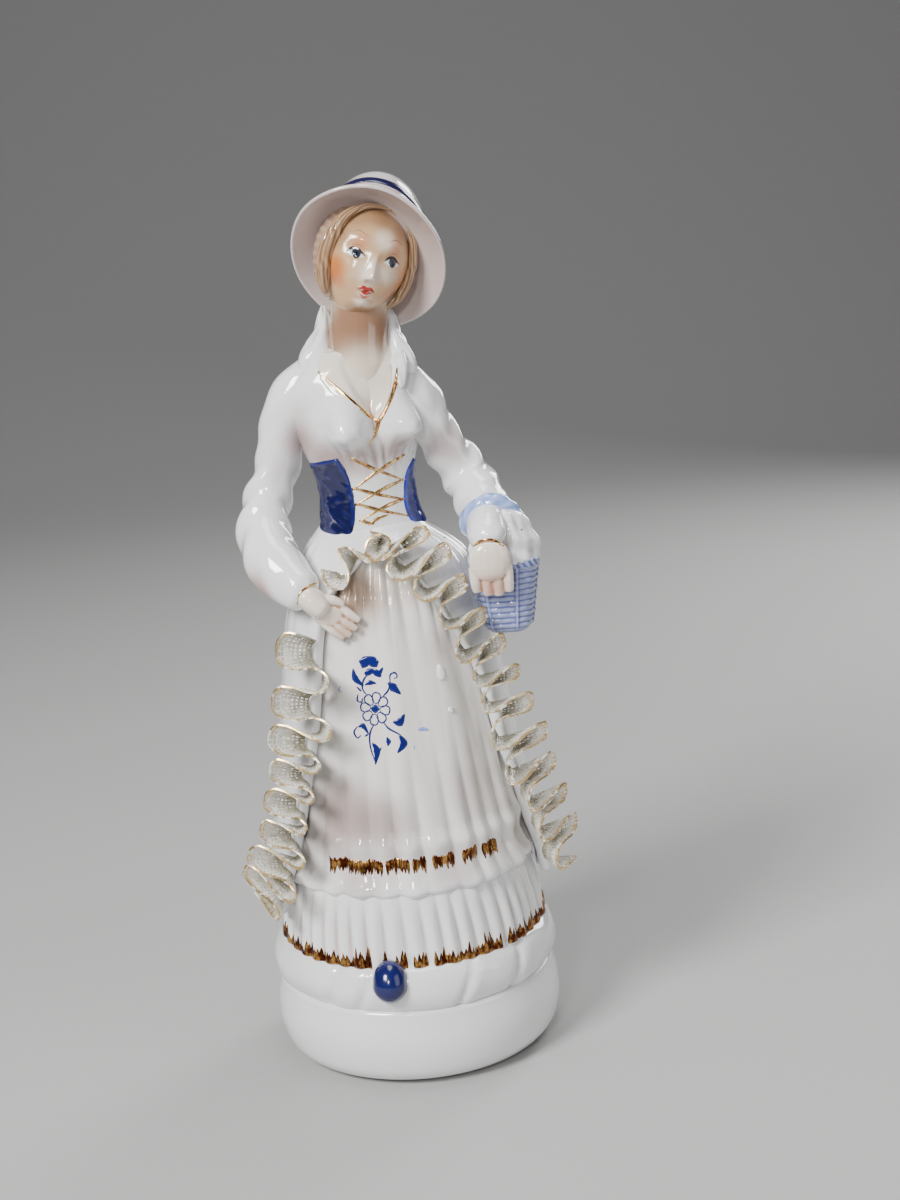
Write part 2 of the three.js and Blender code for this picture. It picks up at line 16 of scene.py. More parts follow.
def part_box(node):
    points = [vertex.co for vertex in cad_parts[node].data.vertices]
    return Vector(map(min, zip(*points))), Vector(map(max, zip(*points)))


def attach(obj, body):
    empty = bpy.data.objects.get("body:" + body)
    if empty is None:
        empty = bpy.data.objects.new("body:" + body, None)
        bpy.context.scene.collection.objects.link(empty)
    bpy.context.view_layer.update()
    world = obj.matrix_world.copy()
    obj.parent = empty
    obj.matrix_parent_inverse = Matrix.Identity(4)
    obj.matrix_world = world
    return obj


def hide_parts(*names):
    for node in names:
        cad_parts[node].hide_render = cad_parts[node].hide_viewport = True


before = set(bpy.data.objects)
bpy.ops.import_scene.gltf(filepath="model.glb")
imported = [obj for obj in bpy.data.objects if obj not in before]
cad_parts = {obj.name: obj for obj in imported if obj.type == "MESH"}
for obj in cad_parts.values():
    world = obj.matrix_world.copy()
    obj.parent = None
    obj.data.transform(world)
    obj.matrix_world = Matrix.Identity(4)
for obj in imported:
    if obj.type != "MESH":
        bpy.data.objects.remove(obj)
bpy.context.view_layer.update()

log = logging.getLogger("porcelain_lady")

MM = 0.001
TURN = math.tau
LEVEL = 0.52  # the hollowness of thin strokes and lace, where no glaze pools, and so no painted shade or highlight is laid
PLINTH_LOW, PLINTH_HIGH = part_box("plinth")
AXIS = Vector(((PLINTH_LOW[0] + PLINTH_HIGH[0]) / 2, (PLINTH_LOW[1] + PLINTH_HIGH[1]) / 2, 0.0))
EYE = Vector((16.7, -484.6, 226.0))  # where the figurine is looked at from, in mm from the plinth's axis

Array = np.ndarray
Triple = tuple[float, float, float]
Line = Sequence[tuple[float, float]]
Points = tuple[Array, Array, Array]
Shape = Callable[[Array, Array], Points]
Relief = Callable[[Array, Array], Array]
Pieces = dict[str, Object]
Wires = dict[int | str, object]


class Slot(Enum):
    """The record's finishes."""

    WHITE = "white_glaze"
    COBALT = "cobalt_glaze"
    PALE_BLUE = "pale_blue_glaze"
    FLESH = "flesh_glaze"
    HAIR = "hair_glaze"
    LACE = "lace_bisque"


# ---- numbers along and round a form ------------------------------------------------------------------------


def along(rows: Sequence[Sequence[float]], at: Array | float) -> Array:
    """Read smooth values between stations.

    Args:
        rows: Stations as [station, value, value, ...], in rising order.
        at: Where to read.

    Returns:
        The values, with one column for each value of a row.
    """
    table = np.asarray(rows, dtype=float)
    keys, values = table[:, 0], table[:, 1:]
    at = np.clip(np.asarray(at, dtype=float), keys[0], keys[-1])
    i = np.clip(np.searchsorted(keys, at, side="right") - 1, 0, len(keys) - 2)
    before, after = np.maximum(i - 1, 0), np.minimum(i + 2, len(keys) - 1)
    span = keys[i + 1] - keys[i]
    t = ((at - keys[i]) / span)[..., None]
    span = span[..., None]
    start = (values[i + 1] - values[before]) / (keys[i + 1] - keys[before])[..., None] * span
    end = (values[after] - values[i]) / (keys[after] - keys[i])[..., None] * span
    rise = values[i + 1] - values[i]
    return values[i] + t * (start + t * (3 * rise - 2 * start - end + t * (start + end - 2 * rise)))


def shares(points: Array) -> Array:
    """Return each point's share of the way along the line through them all, from 0 to 1."""
    steps = np.linalg.norm(np.diff(points, axis=0), axis=1)
    return np.concatenate([[0], np.cumsum(steps)]) / steps.sum()


def smooth(x: Array, low: float, high: float) -> Array:
    """Rise smoothly from 0 at low to 1 at high.

    Args:
        x: Where to read.
        low: Where the rise starts.
        high: Where it ends.

    Returns:
        The rise, from 0 to 1.
    """
    t = np.clip((x - low) / (high - low), 0, 1)
    return t * t * (3 - 2 * t)


def bump(x: Array, centre: float, spread: float) -> Array:
    """Return a soft swelling of height 1 round a centre."""
    return np.exp(-(((x - centre) / spread) ** 2))


def between_ends(v: Array, margin: float) -> Array:
    """Return 0 within a margin of either end of a form and 1 between them."""
    return np.where((v < margin) | (v > 1 - margin), 0.0, 1.0)


def rotated(x: Array, y: Array, degrees: float) -> tuple[Array, Array]:
    """Turn points about the upright axis, towards her left."""
    turn = math.radians(degrees)
    return x * math.cos(turn) - y * math.sin(turn), x * math.sin(turn) + y * math.cos(turn)


def folds(angle: Array, count: int, seed: int, wander: float = 0.5) -> Array:
    """Make uneven cloth folds round a form, round on top and sharp below.

    Args:
        angle: Angles from the front.
        count: How many folds go all the way round.
        seed: Which of many uneven spacings.
        wander: How uneven the folds are.

    Returns:
        Heights from 0 in the valleys to 1 on the ridges.
    """
    rng = np.random.default_rng(seed)
    phases = rng.uniform(0, TURN, 5)
    phase = angle * count
    for k, turns in enumerate((1, 2, 3, 5, 8)):
        phase = phase + wander * (1.6 / (1 + 0.5 * k)) * np.sin(turns * angle + phases[k])
    level = 0.75 + 0.25 * np.sin(angle * 4 + phases[0]) * np.sin(angle * 7 + phases[1])
    return np.sqrt(0.5 + 0.5 * np.cos(phase) + 0.02) * level


def ripples(*waves: tuple[float, float, float, float]) -> Relief:
    """Give a relief made of sine waves.

    Args:
        *waves: Each wave's height in mm, its turns round, its turns along and its phase.

    Returns:
        The relief.
    """

    def relief(angle: Array, t: Array) -> Array:
        """Give the extra radius in mm."""
        return sum(height * np.sin(angle * around + t * on + phase) for height, around, on, phase in waves)

    return relief


def oval(
    angle: Array, half_width: Array, half_depth: Array, grow: Array | float = 0.0
) -> tuple[Array, Array]:
    """Place points on an oval.

    Args:
        angle: Angles from the front, towards her left.
        half_width: The oval's half-width.
        half_depth: Its half-depth.
        grow: How far outside it to go.

    Returns:
        The points' x and y.
    """
    x, y = np.sin(angle), -np.cos(angle)
    reach = 1 / np.hypot(x / half_width, y / half_depth) + grow
    return x * reach, y * reach


# ---- modelling tools ---------------------------------------------------------------------------------------


def fresh() -> None:
    """Leave nothing selected and be in object mode."""
    if bpy.context.object and bpy.context.object.mode != "OBJECT":
        bpy.ops.object.mode_set(mode="OBJECT")
    bpy.ops.object.select_all(action="DESELECT")


def only(piece: Object) -> None:
    """Select one piece alone and make it active."""
    fresh()
    piece.select_set(True)
    bpy.context.view_layer.objects.active = piece


def add_object(name: str, data: bpy.types.ID) -> Object:
    """Put an object with the given data into the scene."""
    thing = bpy.data.objects.new(name, data)
    bpy.context.scene.collection.objects.link(thing)
    return thing


def edit_all(piece: Object) -> None:
    """Select a piece alone, enter edit mode and select all of it."""
    only(piece)
    bpy.ops.object.mode_set(mode="EDIT")
    bpy.ops.mesh.select_all(action="SELECT")


def coordinates(piece: Object, kind: str = "co") -> Array:
    """Return a piece's vertices, in metres, or for the kind "normal" their normals, as rows of x, y and z."""
    flat = np.empty(len(piece.data.vertices) * 3)
    piece.data.vertices.foreach_get(kind, flat)
    return flat.reshape(-1, 3)


def move_to(piece: Object, points: Array) -> None:
    """Put a piece's vertices at the given rows of x, y and z in metres."""
    piece.data.vertices.foreach_set("co", np.ascontiguousarray(points, dtype=np.float32).ravel())
    piece.data.update()


def store(piece: Object, name: str, values: Array) -> None:
    """Store one value for each of a piece's vertices."""
    attribute = piece.data.attributes.new(name, "FLOAT", "POINT")
    attribute.data.foreach_set("value", values.astype(np.float32))


def close_seams(piece: Object, reach: float = 0.002) -> None:
    """Merge a piece's touching vertices and turn its faces outwards.

    Args:
        piece: The piece.
        reach: How close two vertices are merged, in mm.
    """
    edit_all(piece)
    bpy.ops.mesh.remove_doubles(threshold=reach * MM)
    bpy.ops.mesh.dissolve_degenerate(threshold=reach * MM * 0.5)
    bpy.ops.mesh.normals_make_consistent(inside=False)
    bpy.ops.object.mode_set(mode="OBJECT")


def shaped(name: str, across: int, up: int, shape: Shape, closed: bool = True) -> Object:
    """Add a fine grid and lay it over a form.

    Args:
        name: The piece's name.
        across: Faces across the grid.
        up: Faces up the grid.
        shape: Gives x, y and z in mm from the plinth's axis for places across and up the grid, from 0 to 1.
        closed: Whether the grid closes on itself into a solid.

    Returns:
        The piece.
    """
    fresh()
    bpy.ops.mesh.primitive_grid_add(x_subdivisions=across, y_subdivisions=up, size=1.0, location=(0, 0, 0))
    piece = bpy.context.object
    piece.name = piece.data.name = name
    flat = coordinates(piece)
    x, y, z = shape(flat[:, 0] + 0.5, flat[:, 1] + 0.5)
    move_to(piece, np.column_stack([x * MM + AXIS.x, y * MM + AXIS.y, z * MM]))
    if closed:
        close_seams(piece)
    only(piece)
    bpy.ops.object.shade_smooth()
    return piece


def apply(piece: Object, kind: str, **settings: object) -> None:
    """Give a piece a modifier and apply it.

    Args:
        piece: The piece.
        kind: The modifier's type.
        **settings: The modifier's settings.
    """
    only(piece)
    modifier = piece.modifiers.new(kind.title(), kind)
    for key, value in settings.items():
        setattr(modifier, key, value)
    bpy.ops.object.modifier_apply(modifier=modifier.name)


def cast_of(node: str, name: str, voxel: float, passes: int) -> Object:
    """Copy a CAD node as one soft-edged casting.

    Args:
        node: The node.
        name: The new piece's name.
        voxel: The fineness of its new surface, in mm.
        passes: How often the surface is smoothed.

    Returns:
        The piece.
    """
    source = bpy.data.objects[node]
    piece = add_object(name, source.data.copy())
    piece.data.name = name
    piece.data.materials.clear()
    close_seams(piece)
    apply(piece, "REMESH", mode="VOXEL", voxel_size=voxel * MM)
    apply(piece, "SMOOTH", factor=0.6, iterations=passes)
    only(piece)
    bpy.ops.object.shade_smooth()
    return piece


def tubular(
    name: str,
    stations: Sequence[Sequence[float]],
    around: int,
    rings: int,
    relief: Relief | None = None,
    flat: float = 1.0,
    ends: float = 0.06,
) -> Object:
    """Build a round-ended limb along a smooth line.

    Args:
        name: The piece's name.
        stations: Points and radii, as [x, y, z, radius] in mm.
        around: Faces round the limb.
        rings: Faces along it.
        relief: Extra height for angles round the limb and places along it from 0 to 1, in mm.
        flat: The second cross direction's radius, as a part of the first's.
        ends: The part of the length over which each end is rounded.

    Returns:
        The piece.
    """
    table = np.asarray(stations, dtype=float)
    rows = np.column_stack([shares(table[:, :3]), table])
    t = np.linspace(0, 1, 401)
    line = along(rows, t)
    tangents = np.gradient(line[:, :3], axis=0)
    tangents /= np.linalg.norm(tangents, axis=1)[:, None]
    first = np.cross(tangents[0], (0.0, 1.0, 0.0))
    first = np.cross(tangents[0], first / np.linalg.norm(first))
    normals = np.empty_like(tangents)
    for i, tangent in enumerate(tangents):
        first = first - tangent * (first @ tangent)
        first = first / np.linalg.norm(first)
        normals[i] = first
    binormals = np.cross(tangents, normals)

    def place(u: Array, v: Array) -> Points:
        """Give points on the limb for places round and along it."""
        angle = u * TURN
        edge = np.minimum(v, 1 - v) / ends
        cap = np.sqrt(np.clip(1 - (1 - np.clip(edge, 0, 1)) ** 2, 0, 1))

        def read(columns: Array) -> Array:
            """Give the stations' values at the points."""
            return np.column_stack([np.interp(v, t, columns[:, k]) for k in range(columns.shape[1])])

        at, n, b = read(line), read(normals), read(binormals)
        radius = at[:, 3] * cap
        extra = relief(angle, v) * cap if relief else 0.0
        aside = np.cos(angle) * (radius + extra)
        above = np.sin(angle) * (radius * flat + extra)
        point = at[:, :3] + (n * aside[:, None] + b * above[:, None])
        return point[:, 0], point[:, 1], point[:, 2]

    return shaped(name, around, rings, place)


def mark_hollows(piece: Object, passes: int = 6, gain: float = 0.0012) -> None:
    """Store how hollow the surface is at each vertex, from 0 on ridges through 0.5 to 1 in hollows.

    Args:
        piece: The piece.
        passes: How widely it is averaged.
        gain: How strongly a bend counts.
    """
    mesh = piece.data
    points, normals = coordinates(piece), coordinates(piece, "normal")
    pairs = np.empty(len(mesh.edges) * 2, dtype=np.int64)
    mesh.edges.foreach_get("vertices", pairs)
    a, b = pairs.reshape(-1, 2).T
    share = np.maximum(np.bincount(a, minlength=len(points)) + np.bincount(b, minlength=len(points)), 1)

    def neighbours(values: Array) -> Array:
        """Return the mean of each vertex's neighbours."""
        return (np.bincount(a, values[b], len(points)) + np.bincount(b, values[a], len(points))) / share

    centre = np.column_stack([neighbours(points[:, k]) for k in range(3)])
    length = np.linalg.norm(points[a] - points[b], axis=1)
    spacing = (np.bincount(a, length, len(points)) + np.bincount(b, length, len(points))) / share
    bend = ((centre - points) * normals).sum(axis=1) / np.maximum(spacing, 1e-6) ** 2
    for _ in range(passes):
        bend = 0.4 * bend + 0.6 * neighbours(bend)
    store(piece, "hollow", np.clip(0.5 + bend * gain, 0, 1))


# ---- finishes ----------------------------------------------------------------------------------------------


class GroupSketch:
    """A node group being drawn, with named sockets."""

    def __init__(self, name: str, inputs: dict[str, tuple[str, object]], outputs: dict[str, str]) -> None:
        """Make the group and its sockets.

        Args:
            name: The group's name.
            inputs: Input names with their socket kind and default.
            outputs: Output names with their socket kind.
        """
        self.tree = bpy.data.node_groups.new(name, "ShaderNodeTree")
        for label, (kind, default) in inputs.items():
            socket = self.tree.interface.new_socket(label, in_out="INPUT", socket_type=f"NodeSocket{kind}")
            if default is not None:
                socket.default_value = default
        for label, kind in outputs.items():
            self.tree.interface.new_socket(label, in_out="OUTPUT", socket_type=f"NodeSocket{kind}")
        self.given = self.tree.nodes.new("NodeGroupInput").outputs
        self.result = self.tree.nodes.new("NodeGroupOutput").inputs

    def node(self, kind: str, wires: Wires | None = None, **settings: object) -> Node:
        """Add a node and wire it.

        Args:
            kind: The node's type, without its ShaderNode prefix.
            wires: Sockets or values by input name or number.
            **settings: The node's own settings.

        Returns:
            The node.
        """
        return add_node(self.tree, kind, wires, **settings)

    def give(self, label: str, socket: NodeSocket) -> None:
        """Wire a socket to one of the group's outputs."""
        self.tree.links.new(socket, self.result[label])


def add_node(tree: NodeTree, kind: str, wires: Wires | None = None, **settings: object) -> Node:
    """Add a node to a tree and wire it.

    Args:
        tree: The tree.
        kind: The node's type, without its ShaderNode prefix.
        wires: Sockets or values by input name or number.
        **settings: The node's own settings.

    Returns:
        The node.
    """
    node = tree.nodes.new(f"ShaderNode{kind}")
    for key, value in settings.items():
        setattr(node, key, value)
    wire(tree, node, wires or {})
    return node


def wire(tree: NodeTree, node: Node, wires: Wires) -> None:
    """Wire sockets to a node's inputs, or set their values.

    Args:
        tree: The tree.
        node: The node.
        wires: Sockets or values by input name or number.
    """
    for key, value in wires.items():
        if isinstance(value, NodeSocket):
            tree.links.new(value, node.inputs[key])
        else:
            node.inputs[key].default_value = value


def start_material(name: str) -> tuple[Material, NodeTree, Node]:
    """Start a material and give it with its nodes and its shader."""
    material = bpy.data.materials.new(name)
    material.use_nodes = True
    return material, material.node_tree, material.node_tree.nodes["Principled BSDF"]


def rgba(colour: Sequence[float]) -> tuple[float, ...]:
    """Return a colour with full alpha."""
    return (*colour, 1.0)


def glaze_pooling_and_shade_group() -> NodeTree:
    """Make a clear glaze that pools in hollows and thins on ridges, with painted shade in the hollows and a
    painted highlight on the ridges.

    Returns:
        The group: it gives the tinted colour, the roughness and the glaze's slight unevenness.
    """
    sketch = GroupSketch(
        "glaze_pooling_and_shade",
        {
            "Body": ("Color", rgba((0.9, 0.9, 0.9))),
            "Pooled_Shade": ("Color", rgba((0.7, 0.66, 0.64))),
            "Ridge_Highlight": ("Color", rgba((0.95, 0.95, 0.95))),
            "Position": ("Vector", None),
            "Hollow": ("Float", 0.5),
            "Shade_Pooling": ("Float", 1.0),
            "Smoothness": ("Float", 0.08),
        },
        {"Color": "Color", "Roughness": "Float", "Height": "Float"},
    )
    given = sketch.given
    broad = sketch.node(
        "TexNoise", {"Vector": given["Position"], "Scale": 70.0, "Detail": 3.0, "Roughness": 0.5}
    )
    fine = sketch.node(
        "TexNoise", {"Vector": given["Position"], "Scale": 420.0, "Detail": 2.0, "Roughness": 0.6}
    )
    drift = sketch.node("Math", {0: broad.outputs["Fac"], 1: 0.22, 2: -0.11}, operation="MULTIPLY_ADD")
    level = sketch.node("Math", {0: given["Hollow"], 1: drift.outputs[0]}, operation="ADD")
    # painted shade: hollows are darkened towards the pooled colour, along with the glaze's own pools
    pooled_shade = sketch.node(
        "MapRange", {"Value": level.outputs[0], "From Min": 0.5, "From Max": 0.86},
        interpolation_type="SMOOTHSTEP"
    )
    amount = sketch.node(
        "Math", {0: pooled_shade.outputs[0], 1: given["Shade_Pooling"]}, operation="MULTIPLY", use_clamp=True
    )
    # painted highlight: ridges are lightened towards the ridge colour, where the glaze also thins
    ridge = sketch.node(
        "MapRange", {"Value": level.outputs[0], "From Min": 0.48, "From Max": 0.2},
        interpolation_type="SMOOTHSTEP"
    )
    first = sketch.node("Mix", {0: ridge.outputs[0], 6: given["Body"], 7: given["Ridge_Highlight"]}, data_type="RGBA")
    second = sketch.node(
        "Mix", {0: amount.outputs[0], 6: first.outputs[2], 7: given["Pooled_Shade"]}, data_type="RGBA"
    )
    sketch.give("Color", second.outputs[2])
    rough = sketch.node(
        "Math", {0: fine.outputs["Fac"], 1: 0.06, 2: given["Smoothness"]}, operation="MULTIPLY_ADD"
    )
    sketch.give("Roughness", rough.outputs[0])
    height = sketch.node(
        "Math", {0: broad.outputs["Fac"], 1: 3.0, 2: fine.outputs["Fac"]}, operation="MULTIPLY_ADD"
    )
    sketch.give("Height", height.outputs[0])
    return sketch.tree


def soft_spot_group() -> NodeTree:
    """Make a soft round spot of colour, used for airbrushed colour and for painted shade and highlights.

    Returns:
        The group: it mixes a tint over a colour near a centre.
    """
    sketch = GroupSketch(
        "soft_spot",
        {
            "Color": ("Color", rgba((0.9, 0.8, 0.7))),
            "Tint": ("Color", rgba((0.8, 0.4, 0.2))),
            "Position": ("Vector", None),
            "Centre": ("Vector", (0.0, 0.0, 0.0)),
            "Radius": ("Float", 0.003),
            "Strength": ("Float", 0.6),
        },
        {"Color": "Color"},
    )
    given = sketch.given
    gap = sketch.node("VectorMath", {0: given["Position"], 1: given["Centre"]}, operation="DISTANCE")
    part = sketch.node("Math", {0: gap.outputs["Value"], 1: given["Radius"]}, operation="DIVIDE")
    fade = sketch.node(
        "MapRange",
        {"Value": part.outputs[0], "From Min": 1.0, "From Max": 0.15},
        interpolation_type="SMOOTHERSTEP",
    )
    amount = sketch.node("Math", {0: fade.outputs[0], 1: given["Strength"]}, operation="MULTIPLY")
    mixed = sketch.node("Mix", {0: amount.outputs[0], 6: given["Color"], 7: given["Tint"]}, data_type="RGBA")
    sketch.give("Color", mixed.outputs[2])
    return sketch.tree


def burnish_group() -> NodeTree:
    """Make hand-brushed bright gold: streaked with brown, partly the gold's own brown and partly painted dark
    reflections in the metal, and thin in places.

    Returns:
        The group: it gives the gold's colour, its roughness, its height and how much of it is there.
    """
    sketch = GroupSketch(
        "burnished_gold",
        {
            "Bright": ("Color", rgba((0.85, 0.6, 0.26))),
            "Brown": ("Color", rgba((0.3, 0.11, 0.045))),
            "Position": ("Vector", None),
            "Brownness": ("Float", 0.5),
            "Cover": ("Float", 0.8),
        },
        {"Color": "Color", "Roughness": "Float", "Height": "Float", "Present": "Float"},
    )
    given = sketch.given
    # painted reflection: the brown streaks stand partly for dark reflections in the metal and partly for the
    # gold's own brown
    stretched = sketch.node("Mapping", {"Vector": given["Position"], "Scale": (1.0, 1.0, 0.22)})
    streaks = sketch.node("TexNoise", {"Vector": stretched.outputs[0], "Scale": 1500.0, "Detail": 3.0})
    patches = sketch.node("TexNoise", {"Vector": given["Position"], "Scale": 500.0, "Detail": 2.0})
    mixed = sketch.node("Math", {0: streaks.outputs["Fac"], 1: patches.outputs["Fac"]}, operation="ADD")
    offset = sketch.node("Math", {0: given["Brownness"], 1: mixed.outputs[0]}, operation="ADD")
    brown = sketch.node("MapRange", {"Value": offset.outputs[0], "From Min": 1.32, "From Max": 1.68})
    colour = sketch.node(
        "Mix", {0: brown.outputs[0], 6: given["Bright"], 7: given["Brown"]}, data_type="RGBA"
    )
    sketch.give("Color", colour.outputs[2])
    rough = sketch.node("MapRange", {"Value": streaks.outputs["Fac"], "To Min": 0.12, "To Max": 0.4})
    sketch.give("Roughness", rough.outputs[0])
    sketch.give("Height", streaks.outputs["Fac"])
    lack = sketch.node("Math", {0: given["Cover"], 1: patches.outputs["Fac"]}, operation="SUBTRACT")
    present = sketch.node("MapRange", {"Value": lack.outputs[0], "From Min": 0.02, "From Max": 0.1})
    sketch.give("Present", present.outputs[0])
    return sketch.tree


@dataclass(frozen=True)
class Spot:
    """One soft spot of colour, with its centre, in mm from the plinth's axis, and its radius; some are
    airbrushed colour, others painted shade and others painted highlights.
    """

    centre: Triple
    radius: float
    tint: Triple
    strength: float


@dataclass(frozen=True)
class Glaze:
    """A coloured porcelain body under a clear glaze, with painted shade in its hollows and a painted
    highlight on its ridges.
    """

    name: str
    body: Triple
    # the second colour is painted shade laid in hollows, along with the glaze's own pools; the third is a
    # painted highlight on ridges
    pooled_shade: Triple
    ridge: Triple
    shade_pooling: float = 1.0
    smoothness: float = 0.07
    coat: float = 0.6
    translucency: float = 0.08
    unevenness: float = 0.012
    spots: tuple[Spot, ...] = ()
    coat_roughness: float = 0.04
    ior: float = 1.52
    bleed: Triple = (0.004, 0.003, 0.0025)

    def build(self, groups: "Palette") -> Material:
        """Make the material.

        Args:
            groups: The palette that holds the shared effects.

        Returns:
            The material.
        """
        material, tree, shader = start_material(self.name)
        place = add_node(tree, "TexCoord").outputs["Object"]
        hollow = add_node(tree, "Attribute", attribute_name="hollow").outputs["Fac"]
        values = {"Body": rgba(self.body), "Pooled_Shade": rgba(self.pooled_shade), "Ridge_Highlight": rgba(self.ridge)}
        values |= {"Shade_Pooling": self.shade_pooling, "Smoothness": self.smoothness}
        values |= {"Position": place, "Hollow": hollow}
        depth = add_node(tree, "Group", values, node_tree=groups.glaze_pooling_and_shade)
        colour = depth.outputs["Color"]
        for spot in self.spots:
            centre = [spot.centre[0] * MM + AXIS.x, spot.centre[1] * MM + AXIS.y, spot.centre[2] * MM]
            values = {"Centre": centre, "Radius": spot.radius * MM, "Tint": rgba(spot.tint)}
            values |= {"Strength": spot.strength, "Position": place, "Color": colour}
            colour = add_node(tree, "Group", values, node_tree=groups.soft_spot).outputs["Color"]
        values = {"Height": depth.outputs["Height"], "Strength": 0.35, "Distance": self.unevenness * MM}
        relief = add_node(tree, "Bump", values)
        values = {"Base Color": colour, "Roughness": depth.outputs["Roughness"], "Normal": relief.outputs[0]}
        values |= {"Coat Weight": self.coat, "Coat Roughness": self.coat_roughness, "IOR": self.ior}
        if self.translucency:
            values |= {"Subsurface Weight": self.translucency, "Subsurface Radius": self.bleed}
            values["Subsurface Scale"] = 0.35
        wire(tree, shader, values)
        return material


@dataclass(frozen=True)
class Gilding:
    """Bright gold brushed over the glaze."""

    name: str
    brownness: float = 0.35
    cover: float = 0.9
    bright: Triple = (0.86, 0.6, 0.25)
    brown: Triple = (0.3, 0.1, 0.04)
    under: Triple = (0.86, 0.84, 0.8)

    def laid(self, tree: NodeTree, place: NodeSocket, groups: "Palette") -> Node:
        """Add the gold's shared effect to a material.

        Args:
            tree: The material's nodes.
            place: Gives places on the surface.
            groups: The palette that holds the shared effects.

        Returns:
            The effect's node.
        """
        values = {"Bright": rgba(self.bright), "Brown": rgba(self.brown), "Brownness": self.brownness}
        values |= {"Cover": self.cover, "Position": place}
        return add_node(tree, "Group", values, node_tree=groups.burnished_gold)

    def build(self, groups: "Palette") -> Material:
        """Make the material.

        Args:
            groups: The palette that holds the shared effects.

        Returns:
            The material.
        """
        material, tree, shader = start_material(self.name)
        gold = self.laid(tree, add_node(tree, "TexCoord").outputs["Object"], groups)
        present, colour, roughness, height = (
            gold.outputs[label] for label in ("Present", "Color", "Roughness", "Height")
        )
        mixed = add_node(tree, "Mix", {0: present, 6: rgba(self.under), 7: colour}, data_type="RGBA")
        relief = add_node(tree, "Bump", {"Height": height, "Strength": 0.5, "Distance": 0.03 * MM})
        values = {"Base Color": mixed.outputs[2], "Metallic": present, "Roughness": roughness}
        wire(tree, shader, values | {"Normal": relief.outputs[0]})
        return material


@dataclass(frozen=True)
class Netting:
    """Ivory porcelain lace with gold along its free edge."""

    name: str
    thread: Triple = (0.84, 0.81, 0.73)
    shade: Triple = (0.27, 0.245, 0.16)
    edging: Gilding = Gilding("lace_edging", 0.3, 0.62, (0.82, 0.6, 0.28), (0.2, 0.08, 0.03))

    def build(self, groups: "Palette") -> Material:
        """Make the material.

        Args:
            groups: The palette that holds the shared effects.

        Returns:
            The material.
        """
        material, tree, shader = start_material(self.name)
        place = add_node(tree, "TexCoord").outputs["Object"]
        edge = add_node(tree, "Attribute", attribute_name="edge").outputs["Fac"]
        gold = self.edging.laid(tree, place, groups)
        cloud = add_node(tree, "TexNoise", {"Vector": place, "Scale": 260.0, "Detail": 4.0})
        # painted shade: the lace darkens towards its root against the skirt and lightens towards its free
        # edge; noise varies the tone
        lifted = add_node(tree, "Math", {0: cloud.outputs["Fac"], 1: edge}, operation="ADD")
        tone = add_node(tree, "MapRange", {"Value": lifted.outputs[0], "From Min": 0.6, "From Max": 1.3})
        body = add_node(
            tree, "Mix", {0: tone.outputs[0], 6: rgba(self.shade), 7: rgba(self.thread)}, data_type="RGBA"
        )
        near = add_node(tree, "MapRange", {"Value": edge, "From Min": 0.8, "From Max": 0.97})
        gilt = add_node(tree, "Math", {0: near.outputs[0], 1: gold.outputs["Present"]}, operation="MULTIPLY")
        mixed = add_node(
            tree, "Mix", {0: gilt.outputs[0], 6: body.outputs[2], 7: gold.outputs["Color"]}, data_type="RGBA"
        )
        rough = add_node(tree, "MapRange", {"Value": cloud.outputs["Fac"], "To Min": 0.25, "To Max": 0.5})
        values = {"Height": cloud.outputs["Fac"], "Strength": 0.4, "Distance": 0.08 * MM}
        relief = add_node(tree, "Bump", values)
        values = {"Base Color": mixed.outputs[2], "Metallic": gilt.outputs[0], "Roughness": rough.outputs[0]}
        wire(tree, shader, values | {"Normal": relief.outputs[0], "Coat Weight": 0.25})
        return material


